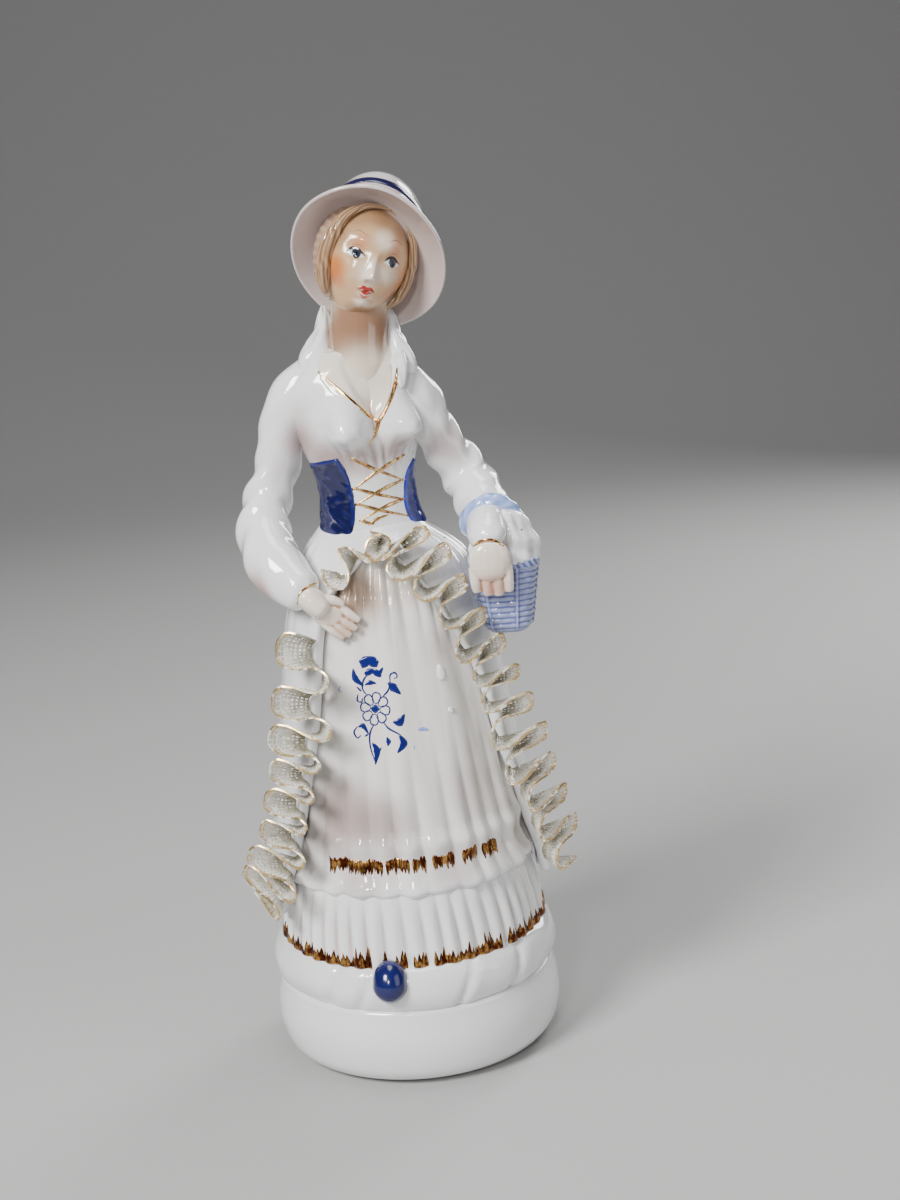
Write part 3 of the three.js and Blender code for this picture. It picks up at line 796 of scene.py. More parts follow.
class Palette:
    """Every finish of the figurine, and the effects that they share."""

    def __init__(self) -> None:
        """Build the shared effects and then the materials."""
        self.glaze_pooling_and_shade = glaze_pooling_and_shade_group()
        self.soft_spot = soft_spot_group()
        self.burnished_gold = burnish_group()
        # painted shade for the white glazes' hollows and folds, and a painted highlight for their ridges
        fold_shade_grey = (0.46, 0.38, 0.36)
        white = (0.83, 0.825, 0.82)
        ridge_highlight = (0.88, 0.885, 0.9)
        self.white = Glaze("white_porcelain", white, fold_shade_grey, ridge_highlight).build(self)
        tan, mauve = (0.36, 0.2, 0.1), (0.3, 0.19, 0.17)
        # painted shade: mauve in the skirt's fold valleys and under the basket; tan is a tint at the top of
        # the skirt near her hands
        shading = (
            Spot((-7, -21, 127), 14, tan, 0.85), Spot((-15, -17, 122), 10, tan, 0.7),
            Spot((7, -20, 127), 8, tan, 0.5),
            Spot((-17, -27, 71), 17, mauve, 0.75), Spot((-5, -31, 69), 12, mauve, 0.6),
            Spot((12, -27, 55), 10, mauve, 0.35), Spot((-12, -30, 53), 10, mauve, 0.35),
            Spot((20, -24, 74), 13, mauve, 0.3), Spot((16, -20, 112), 9, mauve, 0.35),
        )
        self.skirt = Glaze(
            "skirt_porcelain", (0.8, 0.775, 0.755), (0.36, 0.26, 0.23), ridge_highlight, spots=shading
        ).build(self)
        # painted shade under the bust, at the armholes and in the creases of the bodice and sleeves; one
        # cream spot gives the skin colour at the top of the bodice
        crease_shade = (0.33, 0.21, 0.19)
        bodice_shade_and_skin = (
            Spot((-10.5, -9, 158.5), 10, crease_shade, 0.85), Spot((-2, -11, 158.5), 8, crease_shade, 0.6),
            Spot((7, -10, 159.5), 8, crease_shade, 0.7), Spot((-16, -4, 165), 9.5, crease_shade, 0.9),
            Spot((-6.5, -5, 187.5), 6.5, (0.8, 0.7, 0.56), 0.95), Spot((13.5, -5, 165), 7, crease_shade, 0.6),
            Spot((-15, -5, 172), 6, crease_shade, 0.5),
        )
        # painted shade on the underside of her right forearm
        forearm_underside_shade = (0.44, 0.25, 0.19)
        sleeve_crease_shade = (
            Spot((-17, -3, 164), 9, crease_shade, 0.6), Spot((-24, -8, 157), 7, crease_shade, 0.5),
            Spot((-30, -14, 128), 9, forearm_underside_shade, 0.8), Spot((19, -3, 160), 9, crease_shade, 0.6),
            Spot((24, -14, 136), 6, crease_shade, 0.3),
        )
        self.sleeves = Glaze("sleeve_porcelain", white, fold_shade_grey, ridge_highlight, spots=sleeve_crease_shade).build(self)
        self.bodice = Glaze(
            "bodice_porcelain", white, (0.54, 0.44, 0.42), ridge_highlight, spots=bodice_shade_and_skin
        ).build(self)
        self.cobalt = Glaze(
            "cobalt_paint", (0.006, 0.012, 0.14), (0.002, 0.004, 0.035), (0.014, 0.03, 0.3),
            smoothness=0.1, coat=0.3, translucency=0.0,
        ).build(self)
        # a darker cobalt: on her right side panel it is painted shade, as that panel lies in shadow; the
        # shoe's toe and the specks on her hips take it too
        self.dark_and_shaded_cobalt = Glaze(
            "dark_and_shaded_cobalt_paint", (0.004, 0.005, 0.045), (0.002, 0.002, 0.014), (0.008, 0.013, 0.12),
            smoothness=0.14, coat=0.25, translucency=0.0,
        ).build(self)
        self.navy = Glaze(
            "navy_line", (0.006, 0.004, 0.03), (0.003, 0.002, 0.012), (0.008, 0.006, 0.05),
            smoothness=0.14, coat=0.2, translucency=0.0,
        ).build(self)
        self.pale_blue = Glaze(
            "periwinkle_glaze", (0.25, 0.36, 0.72), (0.16, 0.23, 0.56), (0.36, 0.47, 0.8),
            smoothness=0.08, translucency=0.02,
        ).build(self)
        self.wicker = Glaze(
            "lilac_wicker_glaze", (0.24, 0.28, 0.5), (0.1, 0.13, 0.34), (0.32, 0.36, 0.58),
            smoothness=0.1, coat=0.5, translucency=0.02,
        ).build(self)
        tips = (
            Spot((27.2, -29, 125.6), 7, (0.6, 0.25, 0.15), 0.85),
            Spot((-9, -24, 117), 7.5, (0.56, 0.33, 0.2), 0.6),
        )
        self.flesh = Glaze(
            "hand_tint", (0.82, 0.7, 0.58), (0.42, 0.22, 0.14), (0.86, 0.78, 0.7), spots=tips
        ).build(self)
        self.chest = Glaze(
            "chest_tint", (0.84, 0.76, 0.64), (0.62, 0.42, 0.3), (0.88, 0.82, 0.73)
        ).build(self)
        # the hair's own light brown, darkened as painted shade under the bonnet's brim
        self.blond = Glaze(
            "blond_tint", (0.3, 0.17, 0.085), (0.18, 0.09, 0.04), (0.4, 0.26, 0.15), shade_pooling=0.8
        ).build(self)
        shaded = (
            Spot((-1.5, -7, 193.5), 13, (0.26, 0.13, 0.07), 0.95),
            Spot((-8, -4, 189), 9, (0.28, 0.14, 0.075), 0.8),
            Spot((6.5, -4, 190), 9, (0.28, 0.14, 0.075), 0.8),
        )
        self.neck = Glaze(
            "neck_tint", (0.78, 0.66, 0.52), (0.42, 0.24, 0.15), (0.82, 0.72, 0.6), spots=shaded
        ).build(self)
        self.lining = Glaze(
            "lining_tint", (0.36, 0.23, 0.16), (0.22, 0.12, 0.08), (0.46, 0.32, 0.24), shade_pooling=0.9
        ).build(self)
        # painted shade under the bonnet's brim, darkest near her face
        under = (Spot((1.6, -13.0, 202.0), 46.0, (0.38, 0.25, 0.215), 0.95),)
        self.underbrim_shaded = Glaze("bonnet_porcelain", white, (0.5, 0.4, 0.38), ridge_highlight, spots=under).build(self)
        self.gold = Gilding("gold_line", brownness=0.45).build(self)
        self.hem_gold = Gilding("hem_gold", 0.62, 0.96, (0.66, 0.36, 0.1), (0.09, 0.02, 0.008)).build(self)
        self.lace = Netting("porcelain_lace").build(self)


# ---- brushwork ---------------------------------------------------------------------------------------------


@dataclass(frozen=True)
class Canvas:
    """A way of drawing on the figurine: it turns flat places into sight lines that land on a surface."""

    depth: float = -16.0
    squeeze: tuple[float, float] = (0.0, 1.0)
    round_about: tuple[float, float] | None = None
    reach: float = 30.0
    pose: Matrix | None = None

    def sight(self, a: float, b: float) -> tuple[Vector, Vector]:
        """Give the line that lands a place on the surface.

        Args:
            a: Across, in mm, or the angle from the front in radians where the canvas goes round the figurine.
            b: Up, in mm.

        Returns:
            Where the line starts, in mm from the plinth's axis, and its direction.
        """
        if self.pose is not None:
            inwards = self.pose.to_3x3() @ Vector((0.0, 1.0, 0.0))
            return self.pose @ Vector((a, -30.0, b)), inwards.normalized()
        if self.round_about is not None:
            out = Vector((math.sin(a), -math.cos(a), 0.0))
            return Vector((*self.round_about, b)) + out * 60.0, -out
        aim = Vector((self.squeeze[0] + (a - self.squeeze[0]) * self.squeeze[1], self.depth, b))
        return EYE.copy(), (aim - EYE).normalized()


class Brush:
    """Lays thin strokes of paint or gold on finished pieces."""

    def __init__(self, canvas: Canvas, surfaces: Sequence[Object], height: float = 0.07) -> None:
        """Take up the brush.

        Args:
            canvas: How the drawing lands.
            surfaces: The pieces that it lands on.
            height: How thick the paint is, in mm.
        """
        self.canvas = canvas
        self.height = height
        points: list[Vector] = []
        faces: list[list[int]] = []
        for piece in surfaces:
            start = len(points)
            points += [vertex.co.copy() for vertex in piece.data.vertices]
            faces += [[start + i for i in polygon.vertices] for polygon in piece.data.polygons]
        self.tree = BVHTree.FromPolygons(points, faces)
        self.points: list[Vector] = []
        self.faces: list[list[int]] = []

    def land(self, a: float, b: float) -> tuple[Vector, Vector] | None:
        """Find the surface under a place of the drawing.

        Args:
            a: Across.
            b: Up.

        Returns:
            The point, in metres, and the surface's normal, or None where there is nothing under it.
        """
        origin, direction = self.canvas.sight(a, b)
        hit, normal, _, _ = self.tree.ray_cast(origin * MM + AXIS, direction)
        if hit is None:
            return None
        return hit, (normal if normal.dot(direction) < 0 else -normal)

    def stroke(self, path: Line, widths: Sequence[float], steps: int = 12) -> None:
        """Draw one stroke.

        Args:
            path: Places that the stroke's middle passes through.
            widths: Its widths along the path, in the drawing's units across it.
            steps: Stations along it.
        """
        knots = np.linspace(0, 1, len(path))
        t = np.linspace(0, 1, steps + 1)
        middle = along(np.column_stack([knots, np.asarray(path)]), t)
        width = np.interp(t, np.linspace(0, 1, len(widths)), widths)
        scale = np.array([self.canvas.reach if self.canvas.round_about is not None else 1.0, 1.0])
        heading = np.gradient(middle * scale, axis=0)
        heading /= np.maximum(np.linalg.norm(heading, axis=1), 1e-9)[:, None]
        side = np.column_stack([-heading[:, 1], heading[:, 0]]) / scale
        count = max(5, int(max(widths) / 0.5) | 1)
        spread = np.linspace(-0.5, 0.5, count)
        rungs: list[list[tuple[Vector, Vector]]] = []
        for place, across, wide in zip(middle, side, width):
            rung = [self.land(*(place + across * wide * s)) for s in spread]
            if any(spot is None for spot in rung):
                continue
            rungs.append(rung)
        if len(rungs) < 2:
            return
        rise = np.sqrt(np.clip(np.minimum(spread + 0.5, 0.5 - spread) * max(max(widths), 1.0) / 0.4, 0, 1))
        ring = count * 2
        first = len(self.points)
        last = len(rungs) - 1
        for i, rung in enumerate(rungs):
            end = 0.25 if i in (0, last) else 1.0
            for (point, normal), lift in zip(rung, rise):
                self.points.append(point + normal * (self.height * lift * end * MM))
            for point, normal in reversed(rung):
                self.points.append(point - normal * 0.06 * MM)
        for i in range(last):
            for k in range(ring):
                a, b = first + i * ring + k, first + i * ring + (k + 1) % ring
                self.faces.append([a, b, b + ring, a + ring])
        self.faces.append([first + k for k in reversed(range(ring))])
        self.faces.append([first + last * ring + k for k in range(ring)])

    def lift(self, name: str) -> Object:
        """Turn the strokes drawn so far into a piece.

        Args:
            name: The piece's name.

        Returns:
            The piece.
        """
        mesh = bpy.data.meshes.new(name)
        mesh.from_pydata(self.points, [], self.faces)
        piece = add_object(name, mesh)
        edit_all(piece)
        bpy.ops.mesh.normals_make_consistent(inside=False)
        bpy.ops.object.mode_set(mode="OBJECT")
        bpy.ops.object.shade_smooth()
        self.points, self.faces = [], []
        return piece


# ---- the sub-assemblies ------------------------------------------------------------------------------------


def finish(piece: Object, material: Material, slot: Slot, *nodes: str, hollows: int = 6) -> Object:
    """Dress a piece, fix it to the figurine and report it.

    Args:
        piece: The piece.
        material: Its finish.
        slot: The record's finish that it takes; not used.
        *nodes: The CAD nodes that it stands for.
        hollows: How widely its hollows are averaged for the glaze that pools in them, with its painted shade
            and highlight, or 0 for none.

    Returns:
        The piece.
    """
    piece.data.materials.clear()
    piece.data.materials.append(material)
    if hollows:
        mark_hollows(piece, hollows)
    else:
        store(piece, "hollow", np.full(len(piece.data.vertices), LEVEL))
    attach(piece, "root")
    if nodes:
        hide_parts(*nodes)
    log.info("%s: %d faces", piece.name, len(piece.data.polygons))
    return piece


@dataclass
class Base:
    """The round plinth, the rounded tier on it and the toe of her shoe."""

    palette: Palette
    plinth_rows: Line = (
        (28, 0.3), (28.4, 0), (31.2, 0), (32.4, 0.35), (34, 1), (35.4, 2), (36.8, 4), (37.7, 7),
        (38.15, 10.5), (38, 14), (37.5, 17), (37.05, 19), (36.8, 20.2), (36, 20.9), (30, 20.9),
        (20.3, 20.9), (20, 20.5), (20, 17.2), (20.4, 17), (24, 17), (26.5, 16.8), (27.8, 15.2), (28, 9),
    )
    tier_rows: Line = (
        (25, 20.7), (35.6, 20.7), (36.6, 21.2), (37.3, 22.3), (37.9, 24.4), (38, 26.4), (37.6, 28.6),
        (36.7, 30.5), (35.4, 31.7), (34, 32.2), (25.2, 32.2), (25, 31.6),
    )
    notches: Line = ((-0.62, 0.10), (-0.36, 0.06), (0.36, 0.05), (0.8, 0.07), (2.2, 0.09))

    def turned(self, name: str, rows: Line, relief: Relief) -> Object:
        """Turn a closed profile about the upright axis.

        Args:
            name: The piece's name.
            rows: The profile's radii and heights.
            relief: Extra radius for angles and heights.

        Returns:
            The piece.
        """
        loop = np.asarray([*rows, rows[0]], dtype=float)
        keys = shares(loop)
        marks = np.sort(np.concatenate([keys, *[np.linspace(a, b, 7)[1:-1] for a, b in zip(keys, keys[1:])]]))
        count = len(marks) - 1

        def place(u: Array, v: Array) -> Points:
            """Give points of the turned form."""
            angle = u * TURN + math.pi
            key = marks[np.rint(v * count).astype(int)]
            radius, z = along(np.column_stack([keys, loop]), key).T
            z = np.maximum(z, 0.0)
            radius = radius + relief(angle, z) * smooth(radius, 33, 36)
            return np.sin(angle) * radius, -np.cos(angle) * radius, z

        return shaped(name, 256, count, place)

    def build(self) -> Pieces:
        """Build the plinth, the tier and the toe.

        Returns:
            The pieces by what they are.
        """
        hand = ripples((0.12, 3, 0.0, 0.7), (0.06, 5, 0.2, 0.0))

        def trodden(angle: Array, z: Array) -> Array:
            """Give the tier its uneven swell and its few pressed notches."""
            swell = 0.22 * np.sin(angle * 4 + 1.0) + 0.15 * np.sin(angle * 9 + z * 0.3) - 0.2
            off = (angle + math.pi) % TURN - math.pi
            for at, wide in self.notches:
                swell = swell - 0.75 * bump(off - (z - 26) * 0.012, at, wide * 0.55)
                swell = swell + 0.3 * bump(off - (z - 26) * 0.012, at + wide * 1.4, wide)
            return swell

        plinth = self.turned("plinth_casting", self.plinth_rows, hand)
        tier = self.turned("ground_tier_casting", self.tier_rows, trodden)

        def pinched(angle: Array, t: Array) -> Array:
            """Give the toe its slight flats."""
            return 0.15 * bump(t, 0.5, 0.2) * np.cos(angle * 2)

        toe = tubular(
            "shoe_toe",
            [
                [-5.8, -33, 33.2, 3.8], [-6, -35.2, 31.6, 4.3], [-6.2, -37.2, 28.0, 4.5],
                [-6.4, -38.2, 24.4, 3.8],
            ],
            64, 48, pinched, ends=0.42,
        )
        finish(plinth, self.palette.white, Slot.WHITE, "plinth")
        finish(tier, self.palette.white, Slot.WHITE, "ground_tier")
        finish(toe, self.palette.dark_and_shaded_cobalt, Slot.COBALT, "shoe_tip")
        return {"plinth": plinth, "tier": tier, "toe": toe}


@dataclass
class Skirts:
    """The pleated underskirt, its flounce and the draped overskirt."""

    palette: Palette
    under: tuple[Triple, ...] = (
        (49.4, 33.4, 32.2), (57, 31.8, 30.6), (70, 30, 28.4), (85, 27.8, 26), (100, 25.4, 23.4),
        (115, 23, 20.6), (125, 20.6, 18.2), (132, 17, 15), (136, 14.6, 13), (139, 13, 11.6),
    )
    over: tuple[Triple, ...] = (
        (40, 38, 37.6), (50, 37.2, 36.8), (60, 35.4, 35.2), (80, 32.2, 31.4), (100, 29.4, 28),
        (115, 27, 25.2), (125, 24.6, 22.4), (131, 22.6, 19.6), (135, 19.8, 16.6), (138, 16.6, 13.6),
        (140.4, 14, 11.2), (142.4, 12.2, 9.4),
    )
    left_edge: Line = (
        (42, 86), (55, 82), (68, 75), (80, 66), (95, 61), (106, 55), (116, 43), (126, 32), (134, 16),
        (139.6, 2),
    )
    right_edge: Line = (
        (42, 66), (55, 58), (75, 50), (95, 44), (115, 43), (125, 38), (133, 18), (139.6, -2),
    )
    foot_radius: float = 28.4
    bore_radius: float = 25.0

    def under_relief(self, angle: Array, z: Array) -> Array:
        """Give the underskirt's pleats.

        Args:
            angle: Angles from the front.
            z: Heights.

        Returns:
            The extra radius in mm.
        """
        low = smooth(z, 98, 58)
        high = smooth(z, 104, 130) * smooth(z, 140, 134)
        deep = folds(angle + 0.0012 * (z - 60), 27, 5, 0.75) - 0.55
        gathers = folds(angle, 34, 11, 0.6) - 0.5
        broad = folds(angle + 0.0016 * (z - 80), 13, 23, 0.7) - 0.55
        roll = 0.8 * bump(z, 62.5, 2.2) - 0.5 * bump(z, 57.5, 2.5) + 0.7 * bump(z, 51.5, 2.0)
        drawn = 1.0 + 0.5 * bump(z, 72, 10) * bump(angle + 0.45, 0.0, 0.5)
        low = low * (1 - 0.55 * smooth(z, 62, 51))
        return roll + 2.2 * low * deep * drawn + 1.3 * high * gathers + 1.2 * (1 - 0.4 * low) * broad

    def underskirt(self) -> Object:
        """Build the underskirt, hollow and open at its foot.

        Returns:
            The piece.
        """
        outside = np.concatenate([[32.4, 40, 48.6, 49.3], np.linspace(49.9, 139, 150)])
        inside = np.array([139, 128, 108, 80, 52, 32.4])
        count = len(outside) + len(inside)

        def place(u: Array, v: Array) -> Points:
            """Give points of the skirt's wall, up the outside and down the inside."""
            angle = u * TURN + math.pi
            row = np.rint(v * count).astype(int) % count
            outer = row < len(outside)
            z = np.where(
                outer, outside[np.minimum(row, len(outside) - 1)], inside[np.clip(row - len(outside), 0, 5)]
            )
            half = along(self.under, z)
            lip = smooth(z, 49.2, 50.6)
            relief = self.under_relief(angle, z)
            hem = outer & (z > 49)
            skirt_x, skirt_y = oval(angle, half[:, 0], half[:, 1], relief - 1.1 * (1 - lip))
            foot_x, foot_y = np.sin(angle) * self.foot_radius, -np.cos(angle) * self.foot_radius
            bore_x, bore_y = np.sin(angle) * self.bore_radius, -np.cos(angle) * self.bore_radius
            wall = np.where(z < 50, -6.0, -3.2)
            in_x, in_y = oval(angle, half[:, 0], half[:, 1], wall)
            low = (~outer) & (z < 40)
            x = np.where(hem, skirt_x, np.where(outer, foot_x, np.where(low, bore_x, in_x)))
            y = np.where(hem, skirt_y, np.where(outer, foot_y, np.where(low, bore_y, in_y)))
            dip = np.where(hem, (1 - smooth(z, 50, 60)) * (0.4 * (folds(angle, 27, 5, 0.75) - 0.6)), 0.0)
            return x, y, z - dip

        return shaped("underskirt_casting", 560, count, place)

    def flounce(self) -> Object:
        """Build the gathered frill under the underskirt.

        Returns:
            The piece.
        """
        table = (
            (0, 33.6, 31.9), (0.04, 34.9, 31.6), (0.1, 35.1, 32.4), (0.3, 34.7, 36.5), (0.6, 33.7, 42),
            (0.85, 32.5, 47), (1, 31.4, 50.6),
        )

        def place(u: Array, v: Array) -> Points:
            """Give points of the frill, up the outside and down the inside."""
            angle = u * TURN + math.pi
            up = np.clip(v / 0.8, 0, 1)
            radius, z = along(table, up).T
            ripple = folds(angle + 0.002 * (z - 40), 44, 31, 0.7) - 0.55
            depth = 1.8 * smooth(up, 0.0, 0.12) * (1 - 0.6 * smooth(up, 0.55, 1.0))
            radius = radius + ripple * depth
            z = z - 0.5 * ripple * smooth(up, 0.3, 0.0)
            inner = v > 0.8001
            down = np.clip((v - 0.8) / 0.2, 0, 1)
            radius = np.where(inner, np.where(down > 0.99, 33.6, 28.7), radius)
            z = np.where(inner, np.interp(down, [0, 0.2, 0.8, 1.0], [50.6, 50.0, 32.2, 31.9]), z)
            return np.sin(angle) * radius, -np.cos(angle) * radius, z

        return shaped("flounce_casting", 640, 60, place)

    def over_relief(self, angle: Array, z: Array) -> Array:
        """Give the overskirt's drapes, which gather at her hips.

        Args:
            angle: Angles from the front.
            z: Heights.

        Returns:
            The extra radius in mm.
        """
        low = smooth(z, 118, 62)
        high = smooth(z, 104, 128) * smooth(z, 140, 136)
        swung = angle + 0.0022 * (z - 70) * np.sin(angle * 2)
        return 1.3 * low * (folds(swung, 15, 41, 0.8) - 0.62) + 0.7 * high * (folds(angle, 30, 47, 0.9) - 0.5)

    def overskirt(self) -> Object:
        """Build the overskirt, a thick leaf of cloth open at the front.

        Returns:
            The piece.
        """
        low, high = self.left_edge[0][0], self.over[-1][0]

        def place(u: Array, v: Array) -> Points:
            """Give points of the leaf: one way across its outside, and back across its inside."""
            outer = u <= 0.5
            s = np.where(outer, u * 2, 2 - u * 2)
            z = low + v * (high - low)
            start = np.radians(along(self.left_edge, z)[:, 0])
            end = TURN - np.radians(along(self.right_edge, z)[:, 0])
            angle = start + (end - start) * s
            half = along(self.over, z)
            rim = np.minimum(np.minimum(s, 1 - s) * (end - start) * 28, np.minimum(v, 1 - v) * 98)
            thick = np.sqrt(np.clip(1 - (1 - np.clip(rim / 1.1, 0, 1)) ** 2, 0, 1))
            relief = self.over_relief(angle, z) * np.sin(np.clip(s, 0, 1) * math.pi) ** 0.3
            inset = -(2.7 - 0.9 * smooth(z, 60, 45)) * thick
            grow = relief * np.where(outer, 1.0, 0.7) - 1.0 + np.where(outer, thick, inset)
            x, y = oval(angle, half[:, 0], half[:, 1], grow)
            sag = 0.8 * (1 - v) ** 8 * np.sin(angle * 15)
            return x - 2.2 * smooth(z, 132, 142), y, z - sag

        return shaped("overskirt_casting", 640, 150, place)

    def build(self) -> Pieces:
        """Build and dress the three skirts.

        Returns:
            The pieces by what they are.
        """
        under, flounce, over = self.underskirt(), self.flounce(), self.overskirt()
        finish(under, self.palette.skirt, Slot.WHITE, "underskirt", hollows=10)
        finish(flounce, self.palette.white, Slot.WHITE, "flounce", hollows=8)
        finish(over, self.palette.white, Slot.WHITE, "overskirt", hollows=10)
        return {"under": under, "flounce": flounce, "over": over}


@dataclass
class Lace:
    """The strips of porcelain lace, stood on edge and laid in ruffles along the overskirt's edges."""

    palette: Palette
    skirts: Skirts
    mesh_size: float = 0.96
    thickness: float = 0.42
    turned_forward: float = 34.0
    ruffle_length: float = 26.0
    filled_holes: float = 0.12

    def strip(
        self, name: str, node: str, line: Line, ruffles: float, height: float, sway: float,
        seed: int,
    ) -> Object:
        """Build one strip.

        Args:
            name: The piece's name.
            node: The CAD node that it stands for.
            line: Where it stands on the skirt, as degrees from the front and heights.
            ruffles: How many waves it makes.
            height: How far it stands out, in mm.
            sway: How far the ruffles swing to each side, in mm.
            seed: Which unevenness it has.

        Returns:
            The piece.
        """
        rng = np.random.default_rng(seed)
        table = np.column_stack([np.linspace(0, 1, len(line)), np.asarray(line, dtype=float)])
        phases = rng.uniform(0, TURN, 6)
        length = ruffles * self.ruffle_length
        across = int(length / self.mesh_size)
        up = max(int(height / self.mesh_size), 4)

        def base(t: Array) -> tuple[Array, Array]:
            """Give points of the line on the skirt, and the way out from it."""
            degrees, z = along(table, t).T
            angle = np.radians(degrees)
            half = along(self.skirts.over, z)
            x, y = oval(angle, half[:, 0], half[:, 1], 0.2)
            forward = math.radians(self.turned_forward) * smooth(np.abs(degrees), 20, 60)
            ahead = angle - np.sign(angle) * forward
            out = np.column_stack([np.sin(ahead), -np.cos(ahead), np.full_like(angle, 0.25)])
            return np.column_stack([x, y, z]), out / np.linalg.norm(out, axis=1)[:, None]

        def place(u: Array, v: Array) -> Points:
            """Give points of the ribbon."""
            point, out = base(u)
            forward = base(np.clip(u + 0.01, 0, 1))[0] - base(np.clip(u - 0.01, 0, 1))[0]
            forward /= np.linalg.norm(forward, axis=1)[:, None]
            aside = np.cross(forward, out)
            aside /= np.linalg.norm(aside, axis=1)[:, None]
            wave = u * ruffles * TURN + 0.35 * np.sin(u * TURN * 2 + phases[0])
            uneven = 1 + 0.14 * np.sin(u * 9 + phases[1]) + 0.08 * np.sin(u * 23 + phases[2])
            swing = sway * uneven * (0.25 + 0.75 * v)
            rise = height * (0.97 + 0.08 * np.sin(wave * 0.5 + phases[3])) * v
            flutter = 0.22 * v * np.sin(wave * 4 + phases[4]) + 0.14 * v * np.sin(wave * 9 + phases[5])
            point = point + out * (rise + 0.5 * v * np.sin(wave * 2 + phases[4]))[:, None]
            point = point + aside * (swing * np.sin(wave) + flutter)[:, None]
            point = point + forward * (-0.24 * swing * np.sin(2 * wave) - 0.8 * v * np.cos(wave))[:, None]
            return point[:, 0], point[:, 1], point[:, 2]

        piece = shaped(name, across, up, place, closed=False)
        mesh = piece.data
        store(piece, "edge", np.repeat(np.linspace(0, 1, up + 1), across + 1))
        points = coordinates(piece)
        move_to(piece, points + rng.normal(0, 0.08 * MM, points.shape))
        only(piece)
        bpy.ops.object.mode_set(mode="EDIT")
        bpy.ops.mesh.select_mode(type="FACE")
        bpy.ops.mesh.select_all(action="SELECT")
        bpy.ops.mesh.inset(thickness=0.18 * self.mesh_size * MM, use_individual=True)
        bpy.ops.object.mode_set(mode="OBJECT")
        keep = rng.random(len(mesh.polygons)) < self.filled_holes
        inner = np.array([polygon.select for polygon in mesh.polygons]) & ~keep
        for polygon, chosen in zip(mesh.polygons, inner):
            polygon.select = bool(chosen)
        bpy.ops.object.mode_set(mode="EDIT")
        bpy.ops.mesh.delete(type="FACE")
        bpy.ops.object.mode_set(mode="OBJECT")
        apply(piece, "SOLIDIFY", thickness=self.thickness * MM, offset=0.0)
        only(piece)
        bpy.ops.object.shade_smooth_by_angle(angle=math.radians(50))
        return finish(piece, self.palette.lace, Slot.LACE, node, hollows=0)

    def build(self) -> list[Object]:
        """Build the three strips.

        Returns:
            The pieces.
        """
        return [
            self.strip(
                "lace_of_left_edge", "lace_left",
                (
                    (8, 139), (21, 133.5), (33, 126), (43, 115.5), (54, 105), (59, 95), (63, 83),
                    (70, 72), (77, 60), (83, 47),
                ),
                11.5, 8.5, 7.2, 3,
            ),
            self.strip(
                "lace_of_right_edge", "lace_right",
                ((-41, 115), (-42, 99), (-45, 86), (-49, 75), (-52.5, 65), (-58, 54), (-67, 45.5)),
                8.0, 8.6, 7.4, 8,
            ),
            self.strip(
                "lace_of_waist", "lace_waist", ((-33, 131.5), (-15, 134.5), (0, 139.5)), 1.6, 6.6, 4.8, 13
            ),
        ]


